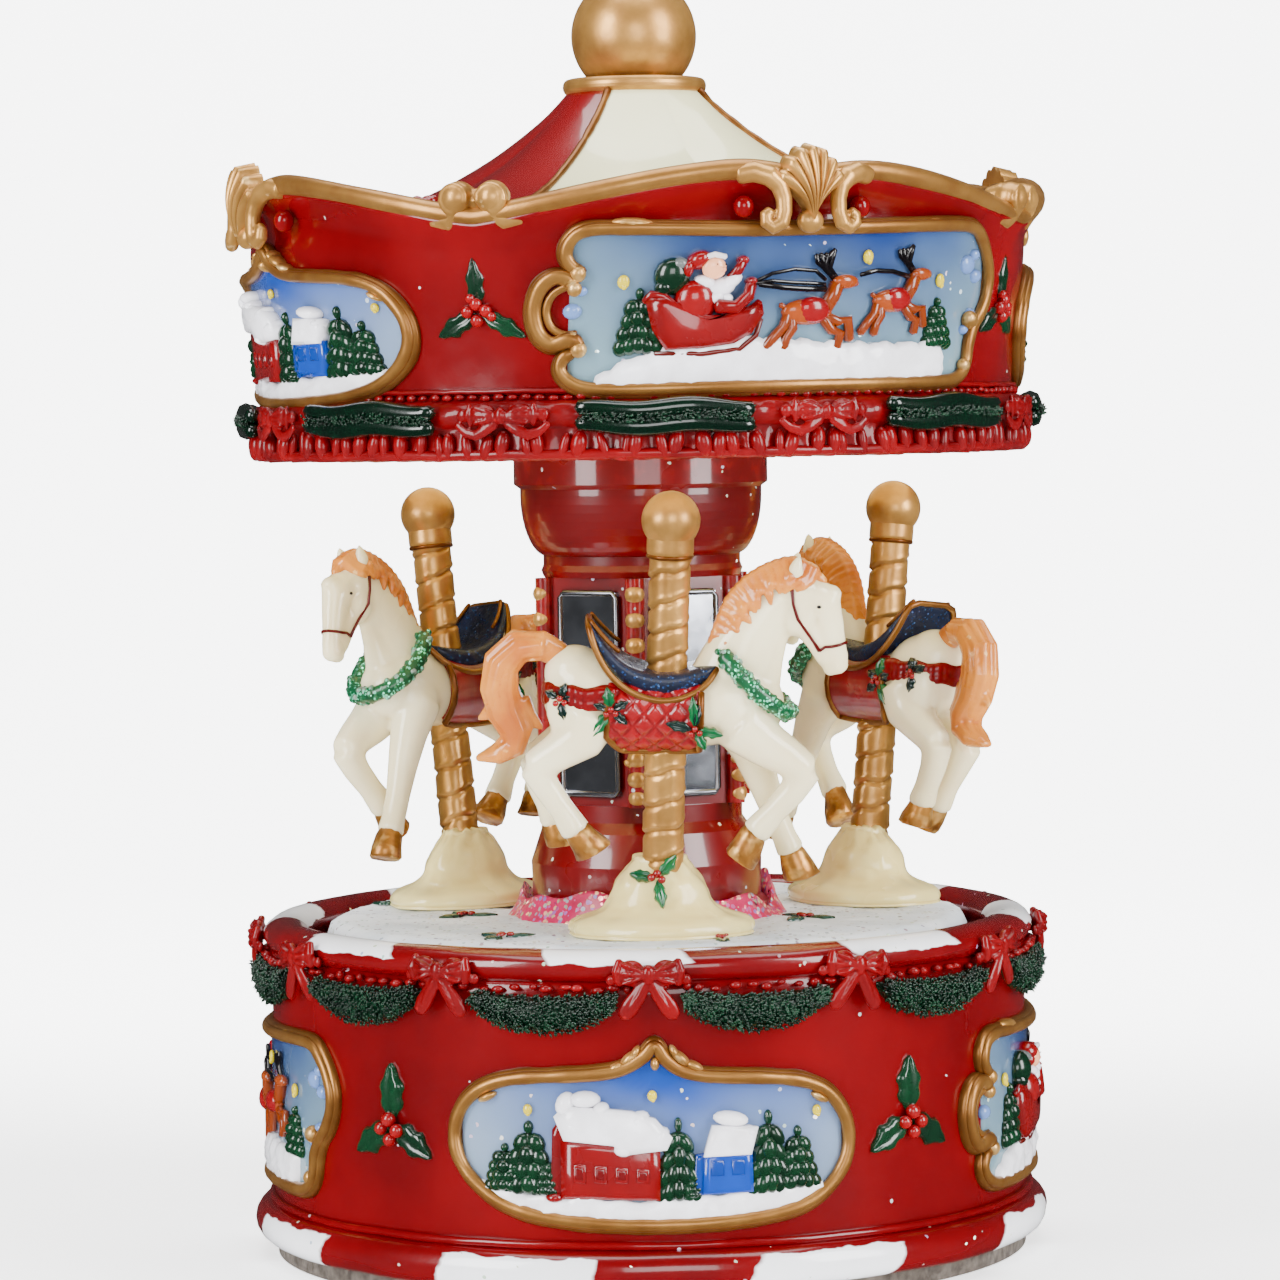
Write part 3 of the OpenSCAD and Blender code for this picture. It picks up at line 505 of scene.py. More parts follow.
rimCandy = finish("rimCandy", red, deepRed, rgb(146, 8, 12), 70, 0.5, 0.6, 0.25, 0.14, 0.4, bump=0.1,
    glitter=sparkle(1900.0, 0.02, 1.2, 0.35, 160.0, 0.42, 0.62),
    patches={"Count": 8.0, "Share": 0.44, "Start": 0.5, "Slant": 26.0, "Wander": 0.1,
    "Low": rimTop * mm - 0.0017, "High": 1.0})
toeCandy = finish("toeCandy", red, deepRed, rgb(146, 8, 12), 70, 0.5, 0.6, 0.25, 0.14, 0.4, bump=0.1,
    glitter=sparkle(1900.0, 0.02, 1.0, 0.3, 160.0, 0.42, 0.62),
    patches={"Count": 8.0, "Share": 0.5, "Start": 0.0, "Slant": -14.0, "Wander": 0.12, "Low": 0.0,
    "High": (footTop + 4.3) * mm})
goldPaint = finish("goldPaint", gold, rgb(104, 58, 18), rgb(240, 200, 132), 220, 0.5, 1.0, 0.9, 0.28,
    0.8, metal=0.72, coat=0.1, bump=0.06)
hoofGold = finish("hoofGold", rgb(180, 122, 54), rgb(70, 34, 8), rgb(232, 184, 104), 300, 0.8, 1.0, 0.8,
    0.26, 0.9, metal=0.65, coat=0.1, bump=0.08)
creamPaint = finish("creamPaint", cream, rgb(206, 172, 84), rgb(250, 240, 190), 70, 0.4, 0.9, 0.3, 0.2,
    0.3, milky=0.12, coat=0.55)
snowPaint = finish("snowPaint", rgb(222, 227, 232), rgb(150, 164, 178), white, 130, 0.5, 0.8, 0.2, 0.5,
    1.0, coat=0.05, bump=0.25, glitter=sparkle(1700.0, 0.16, 1.6, 0.22, 60.0, 0.25, 0.6))
pinkGlitter = finish("pinkGlitter", rgb(190, 20, 86), rgb(130, 0, 36), white, 300, 0.6, 0.3, 0.1, 0.4,
    1.0, coat=0.2, bump=0.2, glitter=sparkle(1500.0, 0.75, 1.7, 0.55), glitterColour=rgb(255, 190, 222))
wreathGlitter = finish("wreathGlitter", wreathGreen, rgb(0, 50, 26), white, 500, 0.5, 0.8, 0.2, 0.35,
    1.0, coat=0.4, bump=0.15, glitter=sparkle(2600.0, 0.35, 1.4, 0.1), glitterColour=rgb(120, 240, 190))
saddleGlitter = finish("saddleGlitter", navy, rgb(4, 8, 22), rgb(50, 76, 112), 500, 0.6, 0.6, 0.4, 0.4,
    1.0, coat=0.2, bump=0.25, glitter=sparkle(3400.0, 0.22, 1.6, 0.1), glitterColour=rgb(46, 76, 124))
ivoryResin = finish("ivoryResin", ivory, rgb(198, 176, 118), white, 45, 0.6, 0.8, 0.1, 0.18, 0.35,
    milky=0.25, coat=0.6, bump=0.1)
amberResin = finish("amberResin", amber, rgb(156, 66, 8), rgb(240, 200, 130), 170, 0.75, 1.0, 0.7, 0.2,
    0.5, milky=0.08, coat=0.5)
firPaint = finish("firPaint", firGreen, rgb(0, 12, 6), rgb(24, 66, 42), 400, 0.6, 0.7, 0.5, 0.16, 0.8,
    coat=0.8)
handPaint = finish("handPaint", white, scale=260, mottle=0.4, recessShade=0.7, wear=0.0, gloss=0.18,
    dimples=0.6, painted=True, coat=0.7)
skyResin = finish("skyResin", white, scale=90, mottle=0.15, recessShade=0.1, wear=0.0, gloss=0.12,
    dimples=0.25, painted=True, coat=0.8, milky=0.25, glitter=sparkle(1600.0, 0.02, 0.9, 0.2, 120.0,
    0.4, 0.6))
roofPaint = finish("roofPaint", roofCream, scale=40, mottle=0.25, recessShade=0.5, wear=0.0, gloss=0.16,
    dimples=0.3, painted=True, coat=0.7)
darkMirror = finish("mirrorPlate", rgb(206, 210, 220), rgb(190, 194, 206), white, 300, 0.3, 0.0, 0.1,
    0.02, 0.05, metal=1.0, coat=0.0, bump=0.01)
mirrorEdge = finish("mirrorBevel", rgb(170, 172, 178), rgb(90, 90, 96), white, 300, 0.5, 0.8, 0.5, 0.16,
    0.3, metal=1.0, coat=0.0)
feltGrey = finish("feltGrey", rgb(92, 84, 76), rgb(52, 46, 42), rgb(120, 112, 104), 700, 0.8, 0.5, 0.3,
    0.8, 1.0, coat=0.0, bump=0.3)
coverBlack = finish("coverBlack", rgb(26, 26, 28), rgb(10, 10, 12), rgb(60, 60, 62), 300, 0.4, 0.5, 0.3,
    0.42, 0.9, coat=0.0, bump=0.08)
insideRed = finish("insideRed", rgb(56, 4, 8), rgb(22, 0, 2), rgb(80, 24, 26), 80, 0.6, 0.6, 0.3, 0.5,
    0.6, coat=0.1)
steel = finish("steel", rgb(176, 178, 184), rgb(110, 112, 120), rgb(226, 226, 230), 500, 0.4, 0.8, 0.6,
    0.2, 0.4, metal=1.0, coat=0.0, bump=0.02)
nickel = finish("nickel", rgb(206, 202, 194), rgb(150, 146, 138), white, 300, 0.3, 0.8, 0.5, 0.1, 0.2,
    metal=1.0, coat=0.0, bump=0.02)
zinc = finish("zinc", rgb(160, 162, 166), rgb(100, 102, 108), rgb(200, 202, 206), 200, 0.5, 0.8, 0.5,
    0.34, 0.7, metal=0.9, coat=0.0, bump=0.05)
brass = finish("brass", rgb(204, 164, 92), rgb(128, 92, 40), rgb(236, 206, 146), 300, 0.4, 0.9, 0.6,
    0.2, 0.4, metal=1.0, coat=0.0, bump=0.03)
print("finishes ready:", len(bpy.data.materials))


# the base: wall, rims, swags and bows

def polar(radius, degrees, z=0.0):
    # 0 degrees faces the viewer, and angles grow to the right
    a = math.radians(degrees - 90)
    return Vector((radius * cos(a), radius * sin(a), z))


def onWall(degrees, z0, radiusAt):
    # takes flat clay, x along the wall, y outwards (negative y is out), z up, and lays it on the round wall
    def mould(v):
        x, y, z = v
        r = radiusAt(z0 + z)
        a = degrees + math.degrees(x / r)
        return tuple(polar(r - y, a, z0 + z))
    return mould


def ovalBar(r, z, half, n=18):
    return [(r + half[0] * cos(tau * k / n), z + half[1] * sin(tau * k / n)) for k in range(n)]


def hand(seed, scale):
    # slow unevenness of a hand-finished cast, in millimetres
    def wobble(r, z, a):
        p = Vector((r * cos(a), r * sin(a), z)) * scale + Vector((seed, 0, 0))
        d = noise(p)
        return r + d * 0.14, z + noise(p + Vector((0, 9, 4))) * 0.1
    return wobble


wall = Clay()
line = [(base["inner"], rimTop - 3.4), (base["inner"], footTop + 1.2),
    (base["inner"] + 0.4, footTop + 0.1), (base["wall"] - 0.6, footTop + 0.1)]
line += [(base["wall"] - 0.35 * sin(pi * k / 24), footTop + 1 + (38.4 - footTop) * k / 24)
    for k in range(25)]
line += [(base["wall"] - 1.2, 40), (base["inner"] + 0.1, 40)]
wall.lathe(line, 240, wobble=hand(3, 0.09))
wall.piece("baseWall", redLacquer, "base", ("base_drum",), "red_paint")
toe = Clay()
toe.lathe(ovalBar(base["toe"], footTop + base["toeHalf"], (base["toeHalf"], base["toeHalf"])), 260,
    closed=True, wobble=hand(5, 0.12))
toe.piece("toeRim", toeCandy, "base", (), "red_paint")
rim = Clay()
rim.lathe(ovalBar(base["rim"], rimTop - base["rimHalf"][1], base["rimHalf"], 22), 260, closed=True,
    wobble=hand(7, 0.12))
rim.piece("topRim", rimCandy, "base", (), "red_paint")
lipBar = Clay()
lipBar.lathe(ovalBar(base["wall"] + 0.1, footTop + 5.6, (0.55, 0.55), 10), 220, closed=True,
    wobble=hand(footTop + 5.6, 0.15))
lipBar.piece("baseBeads", redLacquer, "base", (), "red_paint")


# fir needles on a branch: a tree that walks the branch's line and sows needles that lean forward
needle = {"halfWidth": 0.12, "widest": 0.45, "tall": 1.0}


def needleMesh():
    # a slim four-sided spindle
    w, z = needle["halfWidth"], needle["widest"]
    clay = Clay()
    corners = [(w, 0, z), (0, w, z), (-w, 0, z), (0, -w, z)]
    clay.add([(0, 0, 0)] + corners + [(0, 0, needle["tall"])],
        [(0, 1 + (i + 1) % 4, 1 + i) for i in range(4)] + [(5, 1 + i, 1 + (i + 1) % 4) for i in range(4)])
    obj = bpy.data.objects.new("needleShape", clay.mesh("needleShape"))
    return obj


needleShape = needleMesh()


def socketsOf(tree):
    return {s.name: s.identifier for s in tree.interface.items_tree if s.in_out == "INPUT"}


def anyFrom(t, least, most, seed):
    # a number for each point, between two limits
    chance = newNode(t, "FunctionNodeRandomValue", {2: least, 3: most, "Seed": seed}, data_type="FLOAT")
    return chance.outputs[1]


def startTree(name, inputs):
    t = bpy.data.node_groups.new(name, "GeometryNodeTree")
    for label, kind in [("Geometry", "Geometry")] + inputs:
        t.interface.new_socket(label, in_out="INPUT", socket_type="NodeSocket" + kind)
    t.interface.new_socket("Geometry", in_out="OUTPUT", socket_type="NodeSocketGeometry")
    return t, t.nodes.new("NodeGroupInput").outputs


def endTree(t, planted, material):
    # the planted copies become one mesh with one finish
    real = newNode(t, "GeometryNodeRealizeInstances", {"Geometry": planted.outputs[0]})
    done = newNode(t, "GeometryNodeSetMaterial", {"Geometry": real.outputs[0], "Material": material})
    link(t, done.outputs[0], t.nodes.new("NodeGroupOutput").inputs[0])
    return t


def makeFirTree():
    t, given = startTree("firNeedles", [("Needles For Each Point", "Int"), ("Length", "Float"),
        ("Girth", "Float"), ("Reach", "Float"), ("Spread", "Float"), ("Needle", "Object"),
        ("Finish", "Material"), ("Seed", "Int")])
    points = newNode(t, "GeometryNodeCurveToPoints", {"Curve": given["Geometry"]}, mode="EVALUATED")
    kept = newNode(t, "GeometryNodeStoreNamedAttribute",
        {"Geometry": points.outputs["Points"], "Name": "along", "Value": points.outputs["Tangent"]},
        data_type="FLOAT_VECTOR", domain="POINT")
    many = newNode(t, "GeometryNodeDuplicateElements",
        {"Geometry": kept.outputs[0], "Amount": given["Needles For Each Point"]}, domain="POINT")
    along = newNode(t, "GeometryNodeInputNamedAttribute", {"Name": "along"},
        data_type="FLOAT_VECTOR").outputs[0]
    side = newNode(t, "FunctionNodeRandomValue", {"Min": (-1, -1, -1), "Max": (1, 1, 1),
        "Seed": given["Seed"]}, data_type="FLOAT_VECTOR").outputs[0]
    spread = vectorMaths(t, "SCALE", {0: side, "Scale": given["Spread"]})
    aim = vectorMaths(t, "ADD", {0: along, 1: spread})
    spin = newNode(t, "FunctionNodeAlignRotationToVector", {"Vector": aim}, axis="Z").outputs[0]
    off = vectorMaths(t, "SCALE", {0: side, "Scale": given["Reach"]})
    moved = newNode(t, "GeometryNodeSetPosition", {"Geometry": many.outputs[0], "Offset": off})
    shape = newNode(t, "GeometryNodeObjectInfo", {"Object": given["Needle"]})
    tall = maths(t, "MULTIPLY", given["Length"], anyFrom(t, 0.75, 1.25, given["Seed"]))
    size = newNode(t, "ShaderNodeCombineXYZ", {0: given["Girth"], 1: given["Girth"], 2: tall}).outputs[0]
    planted = newNode(t, "GeometryNodeInstanceOnPoints",
        {"Points": moved.outputs[0], "Instance": shape.outputs["Geometry"], "Rotation": spin, "Scale": size})
    return endTree(t, planted, given["Finish"])


firNeedles = makeFirTree()


def grown(name, paths, tree, values, body, replaces=(), slot=None):
    # runs a tree over a set of lines, and keeps the result as one plain mesh
    curve = bpy.data.curves.new(name, "CURVE")
    curve.dimensions = "3D"
    for path in paths:
        spline = curve.splines.new("POLY")
        spline.points.add(len(path) - 1)
        for point, p in zip(spline.points, path):
            point.co = (p[0] * mm, p[1] * mm, p[2] * mm, 1)
    obj = bpy.data.objects.new(name + "Lines", curve)
    show(obj)
    modifier = obj.modifiers.new("grow", "NODES")
    modifier.node_group = tree
    sockets = socketsOf(tree)
    for key, value in values.items():
        modifier[sockets[key]] = value
    graph = bpy.context.evaluated_depsgraph_get()
    mesh = bpy.data.meshes.new_from_object(obj.evaluated_get(graph))
    bpy.data.objects.remove(obj)
    new = bpy.data.objects.new(name, mesh)
    show(new)
    mesh.polygons.foreach_set("use_smooth", [True] * len(mesh.polygons))
    if not mesh.materials:
        mesh.materials.append(values["Finish"])
    return settle(new, body, replaces, slot)


def needleValues(count=7, length=1.5, girth=1.0, reach=0.5, spread=0.8, seed=1):
    # lengths in millimetres; the needle's own mesh is one millimetre tall
    return {"Needles For Each Point": count, "Length": length, "Girth": girth, "Reach": reach * mm,
        "Spread": spread, "Needle": needleShape, "Finish": firPaint, "Seed": seed}


def linePoints(path, step):
    pts = [Vector(p) for p in path]
    out, carry = [pts[0]], 0.0
    for a, b in zip(pts, pts[1:]):
        length = (b - a).length
        while carry + length >= step:
            a = a + (b - a).normalized() * (step - carry)
            length = (b - a).length
            carry = 0.0
            out.append(a.copy())
        carry += length
    return out


# fat fir crescents hang between twelve bows under the top rim
swag = {"count": 12, "top": 38.3, "drop": 3.9, "half": 10.6, "radius": 50.0}


def swagEdge(s):
    return swag["top"] - 0.5 * (1 - s * s), swag["top"] - 0.7 - swag["drop"] * (1 - abs(s) ** 2.4) ** 0.75


swagLines, swagCore = [], Clay()
for k in range(swag["count"]):
    middle = 360 / swag["count"] * (k + 0.5)

    def swagPoint(i, j):
        s = i / 30 * 2 - 1
        hi, lo = swagEdge(s)
        t = j / 10
        proud = 1.35 * sin(pi * t) ** 0.6 * (1 - 0.5 * s ** 4) if 0 < j < 10 and 0 < i < 30 else -0.6
        return tuple(polar(swag["radius"] + proud - 0.3, middle + s * swag["half"], lo + (hi - lo) * t))
    swagCore.grid(swagPoint, 30, 10)
    for row in range(7):
        t = 0.06 + 0.88 * row / 6
        path = []
        for i in range(31):
            s = (i / 30 * 2 - 1) * (0.98 - 0.1 * abs(t - 0.6))
            hi, lo = swagEdge(s)
            path.append(polar(swag["radius"] + 0.2 + 0.9 * sin(pi * t), middle + s * swag["half"],
                lo + (hi - lo) * t))
        swagLines.append(linePoints(path, 0.5))
swagCore.piece("swagStems", firPaint, "base", ("base_garland",), "garland_paint")
grown("swagNeedles", swagLines, firNeedles, needleValues(7, 0.7, 1.6, 0.3, 1, 4), "base", (),
    "garland_paint")


def gatheredBow(size=1.0):
    # a fat bow with pleated loops, a square knot and two creased tails
    c = Clay()
    c.ball((0, -1.3, 0.2), (0.85, 0.8, 1.25), n=14)
    for side in (-1, 1):
        c.ball((side * 2.1, -0.8, 0.35), (1.75, 0.95, 1.65), n=16)
        c.rope([(side * 3.5, -0.6, 1.9), (side * 3.9, -1, 0.5), (side * 3.5, -0.6, -1.1)],
            [0.5, 0.6, 0.5], n=10)
        for dz in (-1, 0, 1):
            c.rope([(side * 0.7, -1.7, dz * 0.35 + 0.2), (side * 1.9, -1.85, dz * 0.8 + 0.3),
                (side * 3.2, -1.5, dz * 1.25 + 0.35)], [0.2, 0.3, 0.22], n=8)
        c.rope([(side * 0.4, -1.1, -0.8), (side * 1.2, -0.9, -2.2), (side * 2.4, -0.7, -3.9),
            (side * 3.1, -0.6, -5)], [0.8, 1, 1.15, 0.9], n=12, up=(0, -1, 0), flat=0.5)
        c.rope([(side * 0.5, -1.5, -1), (side * 1.4, -1.4, -2.6), (side * 2.3, -1.2, -4.2)],
            [0.2, 0.26, 0.2], n=6)
        c.ball((side * 4.6, -0.3, -0.6), (0.7, 0.5, 0.7), n=10)
    c.wrap(lambda v: tuple(size * a for a in v))
    return c


def bowRow(name, angles, z, radiusAt, size, body):
    every = Clay()
    for k, degrees in enumerate(angles):
        bow = gatheredBow(size)
        lean = turn(5 * sin(k * 2.3), "Y")
        bow.verts = [tuple(lean @ Vector(v)) for v in bow.verts]
        bow.wrap(onWall(degrees, z, radiusAt))
        every.join(bow)
    obj = every.piece(name, ribbonRed, body, keep=True)
    sculpt(obj, 0.16, 3)
    return settle(obj, body, (), "red_paint")


bowRow("swagBows", [30 * k for k in range(12)], 40.6, lambda z: 50.1, 0.98, "base")
gathers = Clay()
for k in range(150):
    rnd = random.Random(k)
    gathers.ball(tuple(polar(49.7, 2.4 * k + rnd.uniform(-0.6, 0.6), 38.9 + rnd.uniform(-0.25, 0.3))),
        (rnd.uniform(0.5, 0.9), rnd.uniform(0.5, 0.9), rnd.uniform(0.35, 0.6)), n=8)
gathers.piece("rimGathers", ribbonRed, "base", (), "red_paint")


def hollyLeaf(length, width, colour):
    # a spiny leaf in x (width) and z (length), its midrib sunk and its halves raised
    c = Clay()
    rows = 12

    def half(t):
        body = sin(pi * min(1, t * 1.02)) ** 0.7
        spike = abs(((t * 3 + 0.15) % 1) - 0.5) * 2
        return width / 2 * body * (0.62 + 0.42 * spike)

    def point(i, j):
        t = j / rows
        s = i / 8 * 2 - 1
        x = s * half(t)
        raised = 0.42 * (abs(s) ** 0.6) * (1 - abs(s) ** 3) + 0.1
        y = -raised - 0.35 * sin(pi * t) if abs(s) < 1 else 0.12
        return (x, y, t * length)
    c.grid(point, 8, rows, colour=colour)
    back = [(v[0], 0.35, v[2]) for v in c.verts]
    n = len(c.verts)
    faces = list(c.faces)
    c.add(back, [f[::-1] for f in faces], colour)
    ring = [i for i in range(9)] + [9 * j + 8 for j in range(1, rows + 1)]
    ring += [9 * rows + i for i in range(7, -1, -1)] + [9 * j for j in range(rows - 1, 0, -1)]
    for a, b in zip(ring, ring[1:] + ring[:1]):
        c.faces.append((b, a, n + a, n + b))
    return c


def sprig(leaves, berries, size=1.0):
    # leaves are (angle, length, width, shade) from one stem; berries are (x, z, radius, colour)
    c = Clay()
    for angle, length, width, shade in leaves:
        leaf = hollyLeaf(length, width, shade)
        c.join(leaf, turn(angle, "Y") @ shift(0, 0, 0.3))
    for x, z, r, colour in berries:
        c.ball((x, -0.7, z), (r, r, r), colour, n=12)
    c.wrap(lambda v: tuple(size * a for a in v))
    return c


berryRed, dullGreen = rgb(132, 0, 8), rgb(6, 36, 20)
trefoil = [(0, 7.2, 4.3, leafGreen), (122, 7, 4.1, dullGreen), (-122, 7, 4.1, leafGreen)]
trefoilBerries = [(0, 0.6, 0.95, berryRed), (-1.3, -0.6, 0.85, berryRed), (1.3, -0.7, 0.9, berryRed),
    (0.1, -1.9, 0.85, berryRed)]
baseHolly = Clay()
for k, degrees in enumerate((-40.5, 40.5, 139.5, -139.5)):
    one = sprig(trefoil, trefoilBerries, 1)
    one.wrap(onWall(degrees, 21.2, lambda z: base["wall"] - 0.2))
    baseHolly.join(one)
baseHolly.piece("baseHolly", handPaint, "base", (), "garland_paint")
print("base built")


# the raised scenes, drawn flat: x along the wall, z up, and negative y outwards

upright = turn(90, "X")     # stands a flat plate up, with its thickness outwards


def smoothLine(points, steps=6, closed=False):
    pts = [Vector((p[0], p[1])) for p in points]
    n = len(pts)
    line = []
    for k in range(n if closed else n - 1):
        a, b = pts[(k - 1) % n if closed else max(k - 1, 0)], pts[k]
        c, d = pts[(k + 1) % n], pts[(k + 2) % n if closed else min(k + 2, n - 1)]
        for i in range(steps):
            t = i / steps
            line.append(0.5 * (2 * b + (c - a) * t + (2 * a - 5 * b + 4 * c - d) * t * t
                + (3 * b - a - 3 * c + d) * t ** 3))
    if not closed:
        line.append(pts[-1])
    return line


def frameBar(line, thick=0.85, proud=1.5, closed=False, ridge=True):
    # a raised moulding: a main bar with a thinner bar along its outside
    c = Clay()
    path = smoothLine(line, 6, closed)
    wander = [thick * (1 + 0.12 * noise(Vector((p[0] * 0.4, p[1] * 0.4, 3)))) for p in path]
    ends = 1 if closed else 0
    if not ends:
        wander = [w * min(1, 0.55 + min(k, len(path) - 1 - k) * 0.12) for k, w in enumerate(wander)]
    c.rope([(p[0], -proud * 0.55, p[1]) for p in path], wander, n=12, closed=closed)
    if ridge:
        c.rope([(p[0] * 1.012, -proud * 0.15, p[1] * 1.03) for p in path], [w * 1.15 for w in wander],
            n=10, closed=closed)
    return c


villageFrame = [(0.6, 12.2), (2, 10.4), (4, 9), (7, 8.3), (11, 8), (15.5, 7.7), (19.8, 7), (23, 5.4),
    (25.2, 2.4), (25.8, -0.6), (25, -3.6), (22.6, -6.4), (19.2, -8.3), (14, -9.4), (7, -9.9), (0, -10),
    (-8, -9.7), (-14.5, -8.9), (-19.5, -7.3), (-23.2, -4.6), (-25.2, -1.6), (-25.5, 1.6), (-24.2, 4.6),
    (-21.5, 6.8), (-17.5, 8), (-12, 8.4), (-7, 8.7), (-3.6, 9.3), (-1, 10.7)]
sleighFrame = [(-26.2, 4.8), (-27.4, 5), (-28.5, 6.4), (-28.2, 8.2), (-26.4, 9.5), (-22, 9.7),
    (-6, 9.4), (8, 9.7), (22, 10.1), (27.4, 9.9), (29.6, 8.4), (31.2, 6.2), (32, 3.8), (31.6, 1.4),
    (30.4, -0.6), (28.8, -2.2), (27.8, -4.2), (27.3, -6.8), (25.2, -8.6), (20, -9), (8, -9.1),
    (-10, -9.3), (-22, -9.4), (-26.6, -8.9), (-28.7, -7.3), (-28.5, -5.6), (-27, -4.9)]
sleighScroll = [(-26.2, -4.4), (-27.6, -3.4), (-29.8, -3.9), (-31.5, -2.6), (-32.2, 0.2), (-31.5, 2.8),
    (-29.8, 4.1), (-28.1, 3.8), (-27.4, 2.8)]


def fillBetween(lowAt, highAt, x0, x1, nx, nz, proud, colour, swell=0.0, rough=0.0):
    # a sheet between two curves, with its own edge folded back to the wall
    c = Clay()

    def point(i, j):
        x = x0 + (x1 - x0) * i / nx
        lo, hi = lowAt(x), highAt(x)
        t = min(1, max(0, (j - 1) / (nz - 2)))
        z = lo + (hi - lo) * t
        edge = j in (0, nz) or i in (0, nx)
        y = 0.5 if edge else -proud - swell * sin(pi * t)
        if rough and not edge:
            y -= rough * noise(Vector((x * 0.8, z * 1.1, 5)))
        return (x, y, z)
    c.grid(point, nx, nz, colour=colour)
    return c


def spanOf(outline):
    line = smoothLine(outline, 6, True)

    def span(x, wantHigh):
        zs = []
        for a, b in zip(line, line[1:] + line[:1]):
            if (a[0] - x) * (b[0] - x) <= 0 and a[0] != b[0]:
                zs.append(a[1] + (b[1] - a[1]) * (x - a[0]) / (b[0] - a[0]))
        if not zs:
            return 0.0
        return max(zs) if wantHigh else min(zs)
    return (lambda x: span(x, False)), (lambda x: span(x, True))


def skyColour(deep, x1):
    def colour(v):
        x, y, z = v
        t = min(1, max(0, (z + 8) / 17 + 0.16 * noise(Vector((x * 0.12, z * 0.2, deep * 7)))))
        sides = min(1, abs(x - 3) / (x1 * 1.05)) ** 2.2
        t = t * (1 - 0.75 * sides)
        top = rgb(16, 58, 142) if deep < 0.5 else rgb(0, 36, 104)
        t = t ** (1.1 if deep < 0.5 else 0.9)
        horizon = rgb(128, 148, 168) if deep < 0.5 else rgb(112, 140, 150)
        return tuple(horizon[k] + (top[k] - horizon[k]) * t for k in range(3))
    return colour


def mixed(a, b, t):
    return tuple(a[k] + (b[k] - a[k]) * t for k in range(3))


def blob(c, x, z, size, colour, proud=0.8, n=12, tilt=0.0, deep=None):
    # a rounded lump on the wall; size is half its width and half its height
    place = shift(x, -proud * 0.35, z) @ turn(tilt, "Y")
    c.ball((0, 0, 0), (size[0], deep or proud, size[1]), colour, place, n)


def firTree(c, x, z, width, height, seed, green=firGreen):
    # shaggy tiers of boughs, widest at the foot
    rnd = random.Random(seed)
    # a dark core behind the boughs: painted shade showing in the gaps between them
    blob(c, x, z + height * 0.42, (width * 0.3, height * 0.45), mixed(green, black, 0.4), 0.9)
    for j in range(4):
        t = j / 3.85
        half = width / 2 * (1 - t * 0.8)
        level = z + height * (0.12 + 0.8 * t)
        count = max(2, round(5 * (1 - t * 0.65)))
        for i in range(count):
            s = i / (count - 1) * 2 - 1
            shade = mixed(green, rgb(12, 62, 34), rnd.uniform(0, 0.42))
            bx = x + s * half * 0.72 + rnd.uniform(-0.15, 0.15)
            bz = level - abs(s) * height * 0.05
            blob(c, bx, bz, (width * 0.15 + 0.26, height * 0.165), shade, 1.6 - 0.5 * abs(s), 10, -s * 32)
    blob(c, x, z + height * 0.93, (width * 0.1, height * 0.1), mixed(green, rgb(12, 62, 34), 0.3), 0.9)


def slab(c, outline, proud, colour, back=-0.3, dome=0.15):
    # a flat shape that stands out from the wall
    c.plate([(p[0], p[1]) for p in outline], back, proud, colour, upright, dome)


def star(c, x, z, size=0.62):
    c.ball((x, -0.65, z), (size, 0.45, size * 1.15), starYellow, n=10)
    c.ball((x + 0.1, -0.85, z - size * 0.8), (size * 0.45, 0.3, size * 0.5), starYellow, n=8)


houseRed, roofWhite, reinDark = rgb(112, 0, 6), rgb(240, 240, 246), rgb(12, 8, 12)


